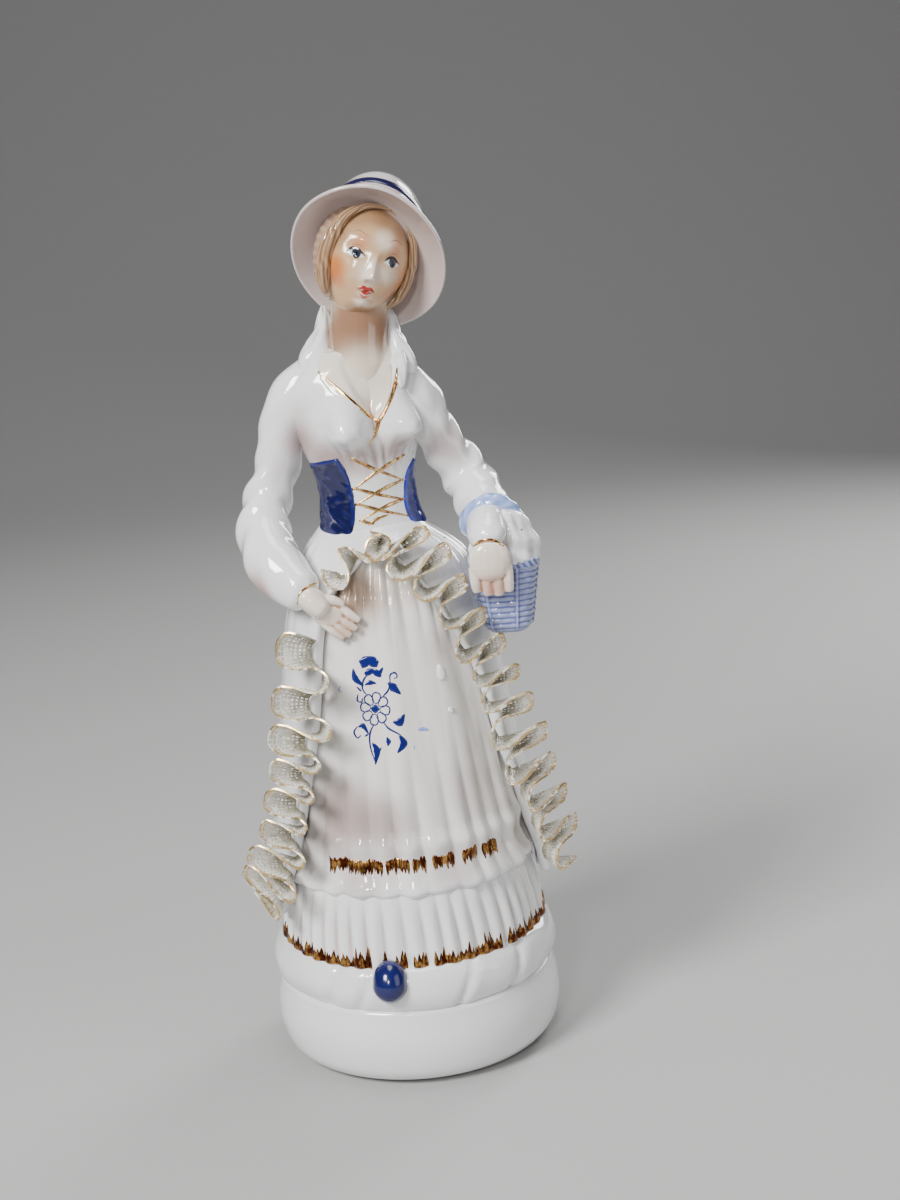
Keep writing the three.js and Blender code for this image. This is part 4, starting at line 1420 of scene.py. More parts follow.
@dataclass
class Torso:
    """The bodice with its shawl collar; the open neck, the cobalt panels and the gold lacing are painted on
    it by Decoration.
    """

    palette: Palette
    turn: float = 15.0
    chest: float = 22.0
    rows: tuple[tuple[float, float, float, float, float], ...] = (
        (136.5, 14.2, 11.2, -1.2, 0), (139.9, 13.8, 10.6, -1.4, 0), (144, 12.9, 9.9, -2, 0),
        (150, 12.3, 9.3, -2.2, 0), (156, 13.3, 9.6, -2.5, 0), (162, 15.2, 10.8, -2.9, 0),
        (168, 16.4, 10.8, -3.2, 0.2), (174, 17, 9.9, -3.3, 0.6), (179, 16, 9, -2.9, 0.8),
        (182.6, 13.2, 8, -2.2, 0.8), (185.2, 10.6, 6.8, -1.6, 0.8), (186.6, 8.2, 5.4, -1.2, 0.8),
    )

    def torso(self) -> Object:
        """Build the torso.

        Returns:
            The piece.
        """
        low, high = self.rows[0][0], self.rows[-1][0]

        def place(u: Array, v: Array) -> Points:
            """Give points of the torso, closed at both ends."""
            angle = u * TURN + math.pi
            inner = np.clip((v - 0.02) / 0.96, 0, 1)
            z = low + inner * (high - low)
            half_width, half_depth, x0, y0 = along(self.rows, z).T
            off = np.degrees((angle + math.pi) % TURN - math.pi) - (self.chest - self.turn)
            lobe = np.maximum(bump(off, 31, 20), bump(off, -31, 20))
            bust = 6.4 * lobe * np.where(z > 165.5, bump(z, 165.5, 8.5), bump(z, 165.5, 3.7))
            cleft = -0.5 * bump(off, 0, 7) * bump(z, 167, 6)
            gathers = 0.4 * bump(z, 159.5, 3.0) * (folds(angle, 34, 61, 0.8) - 0.5)
            gathers = gathers * smooth(np.abs(off), 66, 40)
            pleats = 0.4 * bump(z, 161.5, 5.0) * np.sin(off * 0.42 + (z - 160) * 0.5) * bump(off, 0, 40)
            band = 0.3 * bump(off, 0, 26) * smooth(z, 142, 145) * smooth(z, 159, 156)
            neck_line = np.interp(z, [168.0, 183.0], [0.0, 47.0])
            lapel = 0.75 * smooth(z, 163, 168) * smooth(z, 189, 184)
            lapel = lapel * smooth(np.abs(off - 2), neck_line - 5, neck_line + 3)
            lapel = lapel * (1 - 0.8 * smooth(np.abs(off), neck_line + 22, neck_line + 60))
            back = 0.35 * bump(np.abs(off), 180, 26) * smooth(z, 150, 170) * -1
            grow = bust + cleft + gathers + pleats + band + lapel + back
            x, y = oval(angle, half_width, half_depth, grow)
            cap = between_ends(v, 0.01)
            x, y = rotated(x * cap, y * cap, self.turn)
            return x + x0, y + y0, z

        return shaped("bodice_casting", 300, 230, place)

    def collar(self) -> Object:
        """Build the soft roll of the shawl collar round the back of the neck.

        Returns:
            The piece.
        """
        wrinkle = ripples((0.22, 3, 26, 0.0), (0.12, 1, 60, 0.0))
        return tubular(
            "collar_roll",
            [
                [-12.2, -6.2, 180.4, 2.2], [-12.2, 1.0, 184.6, 2.9], [-7.8, 6.9, 188, 3], [-1, 8.6, 189, 3],
                [5.4, 6.9, 188, 3], [8.8, 0.6, 184.4, 2.6], [8.8, -6.0, 180.4, 1.9], [8.8, -9.2, 175.8, 1.0],
            ],
            64, 200, wrinkle, ends=0.08,
        )

    def build(self) -> Pieces:
        """Build the torso and its collar.

        Returns:
            The pieces by what they are.
        """
        torso, collar = self.torso(), self.collar()
        finish(torso, self.palette.bodice, Slot.WHITE, "bodice", hollows=8)
        finish(collar, self.palette.white, Slot.WHITE)
        return {"torso": torso, "collar": collar}


@dataclass
class Arms:
    """The sleeves and the hands; the gold cuff lines are painted on them by Decoration."""

    palette: Palette
    right: tuple[tuple[float, float, float, float], ...] = (
        (-7, 0.8, 182.2, 4.6), (-13.4, 0.8, 178.8, 6), (-18.8, 0.9, 173.6, 6.9), (-22, 1.5, 167, 6.4),
        (-25, 1.8, 157, 5.8), (-28.6, 0, 147, 6.4), (-29.6, -4, 140.5, 7.1), (-26.8, -11, 134, 7.2),
        (-21.8, -17.6, 129.4, 5.8), (-17.6, -21.4, 126.6, 4.7),
    )
    left: tuple[tuple[float, float, float, float], ...] = (
        (1.6, 0.8, 181, 4.4), (7.6, 0.8, 177.2, 5.8), (11.9, 0.8, 171.9, 6.6), (15, 1.5, 165.6, 6),
        (19.3, 2.5, 157.5, 5.9), (24, 2, 150, 6.8), (26.8, -4, 144.5, 6.8), (27.6, -11, 141.6, 5.9),
        (27.3, -18, 140.8, 5), (27, -23, 138.6, 4.5), (27, -25.2, 136.2, 4.1),
    )
    left_palm: Triple = (27.2, -26.0, 131.0)
    hand_growth: Triple = (1.22, 1.1, 1.08)

    def creases(self, seed: int, elbow: float) -> Relief:
        """Give the sleeve's soft creases, which gather at the elbow.

        Args:
            seed: Which of many uneven patterns.
            elbow: The elbow's place along the sleeve.

        Returns:
            The relief.
        """
        rng = np.random.default_rng(seed)
        phases = rng.uniform(0, TURN, 6)

        def relief(angle: Array, t: Array) -> Array:
            """Give the extra radius in mm."""
            slanted = t * 52 + 2.2 * np.sin(angle + phases[0]) + 0.9 * np.sin(angle * 2 + phases[1])
            near = 0.25 + 0.75 * bump(t, elbow, 0.2)
            deep = 0.55 * near * np.sin(slanted) * (0.6 + 0.4 * np.sin(angle * 2 + phases[2]))
            second = 0.13 * np.sin(t * 27 + 1.6 * np.sin(angle + phases[3]) + phases[4])
            return deep + second + 0.25 * np.sin(angle * 2 + t * 5 + phases[5])

        return relief

    def build(self) -> Pieces:
        """Build the sleeves and the hands.

        Returns:
            The pieces by what they are.
        """
        right = tubular("right_sleeve_casting", self.right, 120, 200, self.creases(2, 0.58), ends=0.05)
        left = tubular("left_sleeve_casting", self.left, 120, 200, self.creases(7, 0.5), ends=0.05)
        right_hand = cast_of("right_hand", "right_hand_casting", 0.26, 5)
        left_hand = cast_of("left_hand", "left_hand_casting", 0.26, 5)
        points = (coordinates(left_hand) - np.array(AXIS)) / MM - self.left_palm
        move_to(left_hand, (points * self.hand_growth + self.left_palm) * MM + np.array(AXIS))
        wrist = tubular(
            "right_wrist",
            [[-20.2, -19.6, 128.4, 4.0], [-17.4, -20.9, 125.8, 4.3], [-13.8, -21.0, 122.6, 4.0]], 64, 50,
            flat=0.75, ends=0.3,
        )
        finish(wrist, self.palette.flesh, Slot.FLESH, hollows=3)
        finish(right, self.palette.sleeves, Slot.WHITE, "right_sleeve")
        finish(left, self.palette.sleeves, Slot.WHITE, "left_sleeve")
        finish(right_hand, self.palette.flesh, Slot.FLESH, "right_hand", hollows=3)
        finish(left_hand, self.palette.flesh, Slot.FLESH, "left_hand", hollows=3)
        return {"right": right, "left": left, "right_hand": right_hand, "left_hand": left_hand}


@dataclass
class Head:
    """The head with its painted face, the neck and the hair."""

    palette: Palette
    centre: Triple = (2.3, -2.0, 207.8)
    turn: float = 15.0
    tilt: float = 20.0
    half: Triple = (10.8, 9.9, 13.7)

    @property
    def pose(self) -> Matrix:
        """Place the head's own frame on the figurine, in mm from the plinth's axis."""
        lean = Matrix.Rotation(math.radians(self.tilt), 4, "Y")
        return Matrix.Translation(self.centre) @ lean @ Matrix.Rotation(math.radians(self.turn), 4, "Z")

    def posed(self, points: Array) -> Points:
        """Turn points of the head's own frame into the figurine's."""
        pose = np.array(self.pose)
        moved = points @ pose[:3, :3].T + pose[:3, 3]
        return moved[:, 0], moved[:, 1], moved[:, 2]

    def face_relief(self, x: Array, z: Array) -> Array:
        """Model a calm doll's face on a smooth head.

        Args:
            x: Places across the face, in mm.
            z: Places up it.

        Returns:
            How far the surface comes forward, in mm.
        """
        bridge = 0.55 * bump(x, 0, 1.1) * smooth(z, 4.6, 0.5) * smooth(z, -5.0, -3.6)
        nose = 1.7 * bump(x, 0, 1.35) * np.where(z > -3.3, bump(z, -3.3, 2.3), bump(z, -3.3, 0.95))
        wings = 0.5 * (bump(x, 1.15, 0.7) + bump(x, -1.15, 0.7)) * bump(z, -3.9, 0.8)
        sockets = -0.75 * (bump(x, 4.6, 2.3) + bump(x, -4.6, 2.3)) * bump(z, 1.8, 1.9)
        eyes = 0.5 * (bump(x, 4.7, 1.8) + bump(x, -4.7, 1.8)) * bump(z, 1.0, 1.05)
        brows = 0.25 * (bump(x, 4.6, 3.0) + bump(x, -4.6, 3.0)) * bump(z, 5.2, 1.4)
        cheeks = 0.65 * (bump(x, 5.0, 2.7) + bump(x, -5.0, 2.7)) * bump(z, -4.2, 3.0)
        mound = 0.55 * bump(x, 0, 2.8) * bump(z, -7.2, 2.1)
        upper = 0.34 * bump(x, 0, 1.6) * bump(z, -6.35, 0.5)
        lower = 0.42 * bump(x, 0, 1.3) * bump(z, -8.0, 0.6)
        parting = -0.35 * bump(x, 0, 1.5) * bump(z, -7.15, 0.28)
        chin = 0.9 * bump(x, 0, 2.2) * bump(z, -10.6, 1.7) - 0.3 * bump(x, 0, 2.2) * bump(z, -9.1, 0.6)
        return (
            bridge + nose + wings + sockets + eyes + brows + cheeks + mound + upper + lower + parting + chin
        )

    def skull(self) -> Object:
        """Build the head.

        Returns:
            The piece.
        """

        def place(u: Array, v: Array) -> Points:
            """Give points of the head, from under the chin to the crown."""
            wide, deep, tall = self.half
            spread = (u - 0.5) * 2
            angle = math.pi * (0.72 * spread + 0.28 * spread**3)
            polar = v * math.pi
            down = -np.cos(polar)
            jaw = 1 - 0.2 * smooth(-down, 0.1, 1.0)
            x = np.sin(angle) * np.sin(polar) * jaw * wide
            y = -np.cos(angle) * np.sin(polar) * deep
            z = down * tall * np.where(down < 0, 1.08, 1.0)
            front = smooth(np.cos(angle), 0.05, 0.45)
            y = y - self.face_relief(x, z) * front
            return self.posed(np.column_stack([x, y, z]))

        return shaped("head_casting", 300, 240, place)

    def neck(self) -> Object:
        """Build the neck.

        Returns:
            The piece.
        """
        stations = [
            [-1.8, 0.2, 176, 8.3], [-1.6, -0.2, 182, 8.1], [-1.3, 0.0, 187, 7.7], [-0.7, 0.2, 192, 7.3],
            [0.6, 0.4, 200, 7.2],
        ]
        return tubular("neck_casting", stations, 80, 60, ends=0.05)

    def hair_roll(self) -> Object:
        """Build the waved hair that frames the face.

        Returns:
            The piece.
        """
        own = [
            (-8, -2.6, -10.8, 0.9), (-9.9, -3.4, -7, 1.5), (-10.9, -3.6, -2.4, 1.8),
            (-10.6, -3.9, 3, 1.8), (-8.7, -4.2, 9, 1.2), (-4.6, -4.4, 12.6, 0.7), (0.4, -4.4, 13.6, 0.5),
            (4.9, -4, 12.5, 0.5), (9, -3.4, 8.9, 0.7), (11, -3.2, 2.8, 1.2), (11.3, -2.6, -2.8, 1.2),
            (10, -2.4, -7.4, 1), (8, -2.2, -10.4, 0.7),
        ]
        stations = [[*(self.pose @ Vector(point[:3])), point[3]] for point in own]

        def strands(angle: Array, t: Array) -> Array:
            """Give the twist of the strands."""
            twist = angle * 4 + t * 40 + 1.3 * np.sin(t * 47)
            return (0.16 * np.sin(twist) + 0.07 * np.sin(angle * 9 + t * 30)) * (1 - 0.5 * bump(t, 0.5, 0.14))

        return tubular("hair_waves", stations, 110, 420, strands, ends=0.06)

    def hair_cap(self) -> Object:
        """Build the combed hair over the back of the head.

        Returns:
            The piece.
        """

        def place(u: Array, v: Array) -> Points:
            """Give points of the cap, with combed ridges."""
            angle = u * TURN + math.pi
            polar = v * math.pi
            ridge = 1 + 0.007 * np.sin(np.arctan2(-np.cos(polar) * 1.1, np.sin(angle) * np.sin(polar)) * 38)
            x = np.sin(angle) * np.sin(polar) * 12.8 * ridge
            y = -np.cos(angle) * np.sin(polar) * 8.4 + 2.6
            z = -np.cos(polar) * 14.6 * ridge + 0.9
            return self.posed(np.column_stack([x, y, z]))

        return shaped("hair_cap", 260, 120, place)

    def spots(self) -> tuple[Spot, ...]:
        """Give the spots of the face: airbrushed colour on the cheeks and lids, painted highlights down the
        middle of the face, and painted shade at the temples, the sides, under the hairline, at the nostrils
        and under the chin and lip.
        """

        def at(x: float, y: float, z: float) -> tuple[float, ...]:
            """Give a place of the upright head on the tilted one."""
            return tuple(self.pose @ Vector((x, y, z)))

        warm, rose = (0.5, 0.15, 0.025), (0.58, 0.15, 0.07)
        brown, pale = (0.2, 0.09, 0.04), (0.86, 0.76, 0.66)
        # the pale spots are painted highlights, the brown spots painted shade; warm and rose are colour on
        # the cheeks and lids
        return (
            Spot(at(-0.4, -10.5, -2.5), 5.6, pale, 0.75), Spot(at(1.6, -9.6, 6.5), 5, pale, 0.6),
            Spot(at(0.2, -9.8, -10.4), 4.6, pale, 0.7), Spot(at(4.6, -9, -1.6), 4.2, pale, 0.5),
            Spot(at(-8.4, -5.6, -3.4), 5.6, warm, 0.85), Spot(at(-7, -6.4, -6.4), 3.6, rose, 0.5),
            Spot(at(7.4, -6.4, -5.6), 4.6, rose, 0.5), Spot(at(9, -5.2, -1.6), 4.6, warm, 0.4),
            Spot(at(-4.6, -8.8, 4.2), 3.4, rose, 0.5), Spot(at(5, -8.6, 4.2), 3, rose, 0.42),
            Spot(at(0, -5.5, -13.2), 5.4, brown, 0.7), Spot(at(-9.6, -4.4, 4.4), 6, brown, 0.6),
            Spot(at(-9.8, -3.4, -6.4), 4.6, brown, 0.6), Spot(at(0, -6.6, 12.6), 7, brown, 0.75),
            Spot(at(-6, -5.6, 10.4), 6, brown, 0.6),
            Spot(at(6.4, -5.6, 10), 6, brown, 0.5),
            Spot(at(9.6, -4, 6), 4.6, brown, 0.35), Spot(at(-1, -10.6, -4.9), 1.5, brown, 0.55),
            Spot(at(0, -9.9, -9.2), 1.3, brown, 0.35),
        )

    def build(self) -> Pieces:
        """Build the head, the neck and the hair.

        Returns:
            The pieces by what they are.
        """
        skull, neck, roll, cap = self.skull(), self.neck(), self.hair_roll(), self.hair_cap()
        # the face's tan is its flesh tint darkened as painted shade from the bonnet's brim; shade and light
        # are painted shade in hollows and a painted highlight on ridges
        base, shade, light = (0.58, 0.36, 0.19), (0.3, 0.13, 0.055), (0.68, 0.5, 0.33)
        face = Glaze(
            "face_tint", base, shade, light, shade_pooling=0.8, smoothness=0.14, coat=0.3, translucency=0.06,
            unevenness=0.006, spots=self.spots(),
        )
        finish(skull, face.build(self.palette), Slot.FLESH, "head", hollows=4)
        finish(neck, self.palette.neck, Slot.FLESH, hollows=4)
        finish(roll, self.palette.blond, Slot.HAIR, "hair", hollows=2)
        finish(cap, self.palette.lining, Slot.HAIR, hollows=4)
        return {"skull": skull, "neck": neck, "roll": roll, "cap": cap}


@dataclass
class Bonnet:
    """The bonnet with its dark band, and the ties that run to her shoulders."""

    palette: Palette
    centre: Triple = (3.2, -3.4, 208.2)
    rise: float = 30.0
    turn: float = 15.0

    def formed(self, ring: Array, radius: Array, depth: Array) -> tuple[Array, ...]:
        """Place points of the bonnet from their angle round its axis, radius and depth behind the brim.

        Args:
            ring: Angles round the axis, with 0 at the lowest point.
            radius: Distances from the axis.
            depth: Distances behind the brim.

        Returns:
            The points' x, y and z.
        """
        x, y, z = radius * np.sin(ring), radius * np.cos(ring) * 1.07 - 0.12 * depth, depth
        lift = math.radians(90 - self.rise)
        y, z = y * math.cos(lift) + z * math.sin(lift), -y * math.sin(lift) + z * math.cos(lift)
        x, y = rotated(x, y, -self.turn)
        return x + self.centre[0], y + self.centre[1], z + self.centre[2]

    def hat(self) -> Object:
        """Build the crown and brim as one casting, cut away at the throat.

        Returns:
            The piece.
        """
        outside = (
            (0, 24.2), (3, 23.9), (6, 22.9), (8.7, 20.9), (10.8, 17.8), (12.1, 14.2), (13, 10.6),
            (13.9, 7.6), (16, 4.6), (18.5, 1.6), (19.5, 0.3), (19.7, -0.5),
        )
        inside = (
            (19.3, -0.8), (18.4, 0), (16, 2.2), (14.2, 3.7), (12.6, 4.6), (10.6, 5.1), (8, 5.4), (5, 5.6),
            (2.5, 5.7), (0, 5.7),
        )
        loop = np.asarray([*outside, *inside], dtype=float)
        rows = np.column_stack([shares(loop), loop])

        def place(u: Array, v: Array) -> Points:
            """Give points of the bonnet from the crown's top over the brim's edge and back inside."""
            ring = u * TURN
            radius, depth = along(rows, v).T
            flare = np.maximum(radius - 13.6, 0) / 6.1
            depth = depth + flare * (0.35 * np.sin(ring * 3 + 0.6) + 0.25 * np.sin(ring * 5))
            inner = smooth(v, 0.52, 0.56) * smooth(v, 0.72, 0.66)
            ruffle = np.sin(ring * 44 + 1.5 * np.sin(ring * 5)) * bump(radius, 13.6, 1.5)
            depth = depth + 0.16 * inner * ruffle
            return self.formed(ring, radius, depth)

        return shaped("bonnet_casting", 360, 260, place)

    def band(self) -> Object:
        """Build the dark line round the foot of the crown.

        Returns:
            The piece.
        """

        def place(u: Array, v: Array) -> Points:
            """Give points of a thin rounded band."""
            ring = u * TURN
            section = v * TURN
            depth = 11.8 + 1.5 * np.cos(section)
            crown = np.interp(depth, [4.6, 7.6, 10.6, 14.2], [16.0, 13.9, 13.0, 12.1])
            return self.formed(ring, crown + 0.12 + 0.24 * np.sin(section), depth)

        return shaped("bonnet_band", 256, 12, place)

    def build(self) -> Pieces:
        """Build the bonnet, its band and its ties.

        Returns:
            The pieces by what they are.
        """
        fluted = ripples((0.3, 3, 6, 0.0), (0.14, 5, -11, 0.0))
        right = tubular(
            "right_tie_casting",
            [
                [-9.6, 4.6, 197, 0.9], [-9.8, 3.4, 193.6, 1.6], [-10.2, 1.6, 190.2, 2.3],
                [-11.4, -0.6, 186.6, 3.2], [-12.8, -1.4, 182.6, 4.0], [-13.2, 0.2, 176.5, 3.0],
            ],
            72, 110, fluted, ends=0.12,
        )
        left = tubular(
            "left_tie_casting",
            [
                [7.4, 5.6, 194.8, 1.0], [7.2, 3.8, 191.4, 1.8], [7.4, 1.6, 188.2, 2.5],
                [8.4, -0.2, 184.8, 3.1], [9.6, -0.8, 180.8, 3.5], [10.2, 0.4, 174.5, 2.8],
            ],
            72, 110, fluted, ends=0.12,
        )
        hat, band = self.hat(), self.band()
        finish(hat, self.palette.underbrim_shaded, Slot.WHITE, "hat", hollows=8)
        finish(band, self.palette.navy, Slot.COBALT)
        finish(right, self.palette.white, Slot.WHITE, "right_tie")
        finish(left, self.palette.white, Slot.WHITE, "left_tie")
        return {"hat": hat, "band": band, "right_tie": right, "left_tie": left}


@dataclass
class Basket:
    """The woven basket on her left arm, with its handle and the white cloth in it."""

    palette: Palette
    centre: tuple[float, float] = (31.0, -14.6)

    def body(self) -> Object:
        """Build the woven body.

        Returns:
            The piece.
        """
        rows = (
            (0, 112.9, 0, 0), (0.1, 112.9, 3.4, 3), (0.16, 113.5, 5.2, 4.7), (0.22, 115, 6.3, 5.7),
            (0.4, 120, 7.2, 6.5), (0.62, 126, 8.2, 7.3), (0.74, 129.4, 8.8, 7.8), (0.78, 130.2, 9.4, 8.3),
            (0.84, 131.9, 9.4, 8.3), (0.88, 132.2, 8.6, 7.6), (0.94, 130.6, 7.4, 6.4), (1, 130.4, 0, 0),
        )

        def place(u: Array, v: Array) -> Points:
            """Give points of the basket, with its weave."""
            angle = u * TURN + math.pi
            z, half_width, half_depth = along(rows, v).T
            half_width, half_depth = np.maximum(half_width, 0.001), np.maximum(half_depth, 0.001)
            side = (
                smooth(z, 113.4, 115) * smooth(z, 130.2, 129.4) * smooth(v, 0.1, 0.2) * smooth(v, 0.85, 0.8)
            )
            over = np.cos(angle * 12 + math.pi * np.floor((z - 113) / 1.45))
            weave = 0.34 * np.abs(np.sin((z - 113) / 1.45 * math.pi)) * (0.75 + 0.25 * over)
            stake = 0.45 * np.maximum(np.cos((angle - 0.35) * 6), 0) ** 24
            rim = 0.28 * smooth(z, 129.9, 130.6) * np.sin(angle * 30 + z * 2.4) * smooth(v, 0.72, 0.78)
            squared = 0.06 * np.cos(4 * angle + math.pi) * half_width
            x, y = oval(
                angle, half_width, half_depth, (weave + stake) * side + rim * smooth(v, 0.93, 0.9) + squared
            )
            flat = between_ends(v, 0.003)
            return x * flat + self.centre[0], y * flat + self.centre[1], z

        return shaped("basket_casting", 300, 190, place)

    def cloth(self) -> Object:
        """Build the white cloth that billows out of the basket.

        Returns:
            The piece.
        """
        rows = (
            (0, 130.2, 0, 0, 31), (0.06, 130.2, 6.4, 5.6, 31), (0.14, 131.2, 8.9, 7.6, 31),
            (0.32, 133.8, 9, 7.6, 31.4), (0.52, 137.4, 8.2, 6.8, 31.4), (0.72, 141.2, 6.6, 5.6, 31),
            (0.88, 144.2, 4.2, 3.9, 30.6), (1, 145.6, 0, 0, 30.4),
        )

        def place(u: Array, v: Array) -> Points:
            """Give points of the cloth, with its upright folds."""
            angle = u * TURN + math.pi
            z, half_width, half_depth, x0 = along(rows, v).T
            half_width, half_depth = np.maximum(half_width, 0.001), np.maximum(half_depth, 0.001)
            fold = 0.3 * np.sin(angle * 7 + 0.12 * z + 0.6) + 0.14 * np.sin(angle * 12 - 0.2 * z)
            roll = 0.35 * np.sin(z * 1.1 + angle * 2)
            grow = (fold + roll) * np.sin(np.clip(v, 0, 1) * math.pi) ** 0.7
            x, y = oval(angle, half_width, half_depth, grow)
            flat = between_ends(v, 0.003)
            return x * flat + x0, y * flat + self.centre[1] - 0.4, z

        return shaped("cloth_casting", 220, 120, place)

    def build(self) -> Pieces:
        """Build the body, the handle and the cloth.

        Returns:
            The pieces by what they are.
        """
        arch = [
            [25.4, -8.0, 136.6, 1.8], [22.6, -11.4, 139.4, 2.3], [23.4, -14.4, 142.8, 2.5],
            [26.6, -16.0, 145.6, 2.5], [29.8, -16.2, 146.3, 2.4], [32.9, -15.8, 144.9, 2.1],
            [35.6, -15.0, 141.6, 1.8], [37.2, -14.0, 137.6, 1.5], [38, -13, 132.4, 1.3],
        ]
        twist = ripples((0.12, 3, 64, 0.0))
        handle = tubular("handle_casting", arch, 90, 260, twist, flat=0.8, ends=0.03)
        body = self.body()
        cloth = self.cloth()
        finish(body, self.palette.wicker, Slot.PALE_BLUE, "basket_body", hollows=2)
        finish(handle, self.palette.pale_blue, Slot.PALE_BLUE, "basket_handle", hollows=2)
        finish(cloth, self.palette.white, Slot.WHITE, "basket_cloth")
        return {"body": body, "handle": handle, "cloth": cloth}


# ---- paint and gold ----------------------------------------------------------------------------------------


@dataclass
class Decoration:
    """Everything that is painted or gilded over the white castings."""

    palette: Palette
    pieces: Pieces = field(default_factory=dict)
    eye: float = 4.75
    hem_radius: float = 31.5

    def dress(self) -> None:
        """Paint the dress: the open neck, the cobalt panels, the gold neckline and lacing, and the cuffs."""
        torso = self.pieces["torso"]
        wide = Brush(Canvas(-16.0), [torso], 0.1)
        wide.stroke(
            [(-2.0, 190.0), (-1.3, 182.2), (0.3, 178), (1.7, 173), (2.3, 169.2)],
            [17.0, 19.4, 14.0, 7.6, 0.3], 60
        )
        finish(wide.lift("open_neck"), self.palette.chest, Slot.FLESH, hollows=2)
        panel = Brush(Canvas(round_about=(-2.2, 0.0), reach=11.0), [torso], 0.35)
        rad = math.radians
        # her right side panel takes the darker cobalt as painted shade; the left panel takes the plain cobalt
        for name, inner, outer, top, paint, depth in (
            ("right_side_panel", (-31, -23, -19, -18, -24), -112, 158.2, self.palette.dark_and_shaded_cobalt, 0.16),
            ("left_side_panel", (82, 66, 60, 58, 68), 122, 155.6, self.palette.cobalt, 0.1),
        ):
            path = [(rad((a + outer) / 2), z) for a, z in zip(inner, np.linspace(top, 140.2, 5))]
            panel.stroke(path, [rad(abs(outer - a)) * 11.0 for a in inner], 50)
            side = panel.lift(name)
            self.crinkle(side, depth)
            finish(side, paint, Slot.COBALT, hollows=3)
        gold = Brush(Canvas(-16.0), [torso, self.pieces["collar"]], 0.16)
        gold.stroke(
            [(-11.1, 182.2), (-7.6, 178.6), (-4.2, 175.2), (-0.6, 171.4), (2.5, 168.7)], [0.5, 1.1, 0.9, 1.2],
            40
        )
        gold.stroke([(8.3, 181.6), (7.5, 177.6), (5.6, 173.2), (2.6, 168.6)], [0.4, 1.1, 1.0, 1.2], 40)
        gold.stroke([(2.9, 169.6), (1.8, 166.2), (-0.2, 162.8)], [1.2, 0.9, 0.3], 16)
        crossings = [
            ((-5, 160.1), (7.5, 153.7)), ((8.4, 160), (-5.4, 152.1)), ((-5.4, 152.7), (7.8, 148.7)),
            ((7.5, 153.8), (-5, 148.2)), ((-5, 148.7), (8, 144.6)), ((7.8, 149.2), (-4.4, 144.1)),
            ((-4.3, 144.6), (-0.6, 143.2)), ((-2.2, 143), (3, 145.2)),
        ]
        for i, ((x0, z0), (x1, z1)) in enumerate(crossings):
            bow = 0.35 if i % 2 else -0.25
            gold.stroke(
                [(x0, z0), ((x0 + x1) / 2, (z0 + z1) / 2 + bow), (x1, z1)], [0.55, 1.05, 0.75, 0.45], 24
            )
        finish(gold.lift("gold_lacing"), self.palette.gold, Slot.WHITE, hollows=0)
        cuffs = Brush(Canvas(-22.0), [self.pieces["right"], self.pieces["right_hand"]], 0.16)
        cuffs.stroke(
            [(-21.3, 125.6), (-20.4, 128.0), (-18.2, 129.8), (-15.2, 130.9)], [0.35, 0.8, 0.7, 0.35], 24
        )
        finish(cuffs.lift("right_cuff_line"), self.palette.gold, Slot.WHITE, hollows=0)
        cuffs = Brush(Canvas(-32.0), [self.pieces["left"], self.pieces["left_hand"]], 0.16)
        cuffs.stroke([(23.1, 138.2), (25.2, 139.6), (28.2, 139.7), (30.8, 138.0)], [0.4, 0.9, 0.8, 0.4], 24)
        finish(cuffs.lift("left_cuff_line"), self.palette.gold, Slot.WHITE, hollows=0)

    def crinkle(self, piece: Object, depth: float) -> None:
        """Press an uneven, crinkled relief into a painted panel.

        Args:
            piece: The panel.
            depth: How deep it is, in mm.
        """
        points, normals = coordinates(piece), coordinates(piece, "normal")
        local = (points - np.array(AXIS)) / MM
        x, z = local[:, 0], local[:, 2]
        wave = np.sin(x * 1.1 + 1.2 * np.sin(z * 0.7)) * np.sin(z * 1.1 + x * 0.5)
        front = smooth(np.abs(wave), 0, 1)
        move_to(piece, points + normals * (depth * wave * front)[:, None] * MM)

    def hems(self) -> None:
        """Gild the underskirt's row of dashes and the flounce's toothed edge."""
        rng = np.random.default_rng(17)
        dashes = Brush(Canvas(round_about=(0.0, 0.0)), [self.pieces["under"]], 0.14)
        runs = (
            (-19.6, -16.1), (-15.7, -10.8), (-10.4, -5.8), (-4.7, 0.9), (2.4, 5.4), (7.7, 13.3),
            (15.5, 19.4), (20.6, 24.5),
        )
        for first, last in runs:
            angle, end = math.asin(first / self.hem_radius), math.asin(last / self.hem_radius)
            while angle < end:
                top, bottom = 59.4 + rng.uniform(-0.4, 0.4), 56.2 + rng.uniform(-1.0, 0.5)
                dashes.stroke(
                    [(angle, top), (angle + rng.uniform(-0.006, 0.006), bottom)], [0.5, 1.0, 0.8, 0.3], 6
                )
                angle += rng.uniform(0.018, 0.028)
        finish(dashes.lift("gilt_dashes"), self.palette.hem_gold, Slot.WHITE, hollows=0)
        teeth = Brush(Canvas(round_about=(0.0, 0.0)), [self.pieces["flounce"]], 0.14)
        angle = -1.62
        gap_at = [-0.27, -0.02, 0.14, 0.76]
        while angle < 1.62:
            if all(abs(angle - gap) > 0.034 for gap in gap_at):
                high = 34.4 + 2.4 * rng.random() ** 2 + 1.2 * max(math.sin(angle * 13), 0)
                lean = rng.uniform(-0.012, 0.012)
                teeth.stroke([(angle, 32.0), (angle + lean, high)], [1.25, 1.1, 0.7, 0.2], 7)
            angle += rng.uniform(0.02, 0.03)
        finish(teeth.lift("gilt_hem"), self.palette.hem_gold, Slot.WHITE, hollows=0)

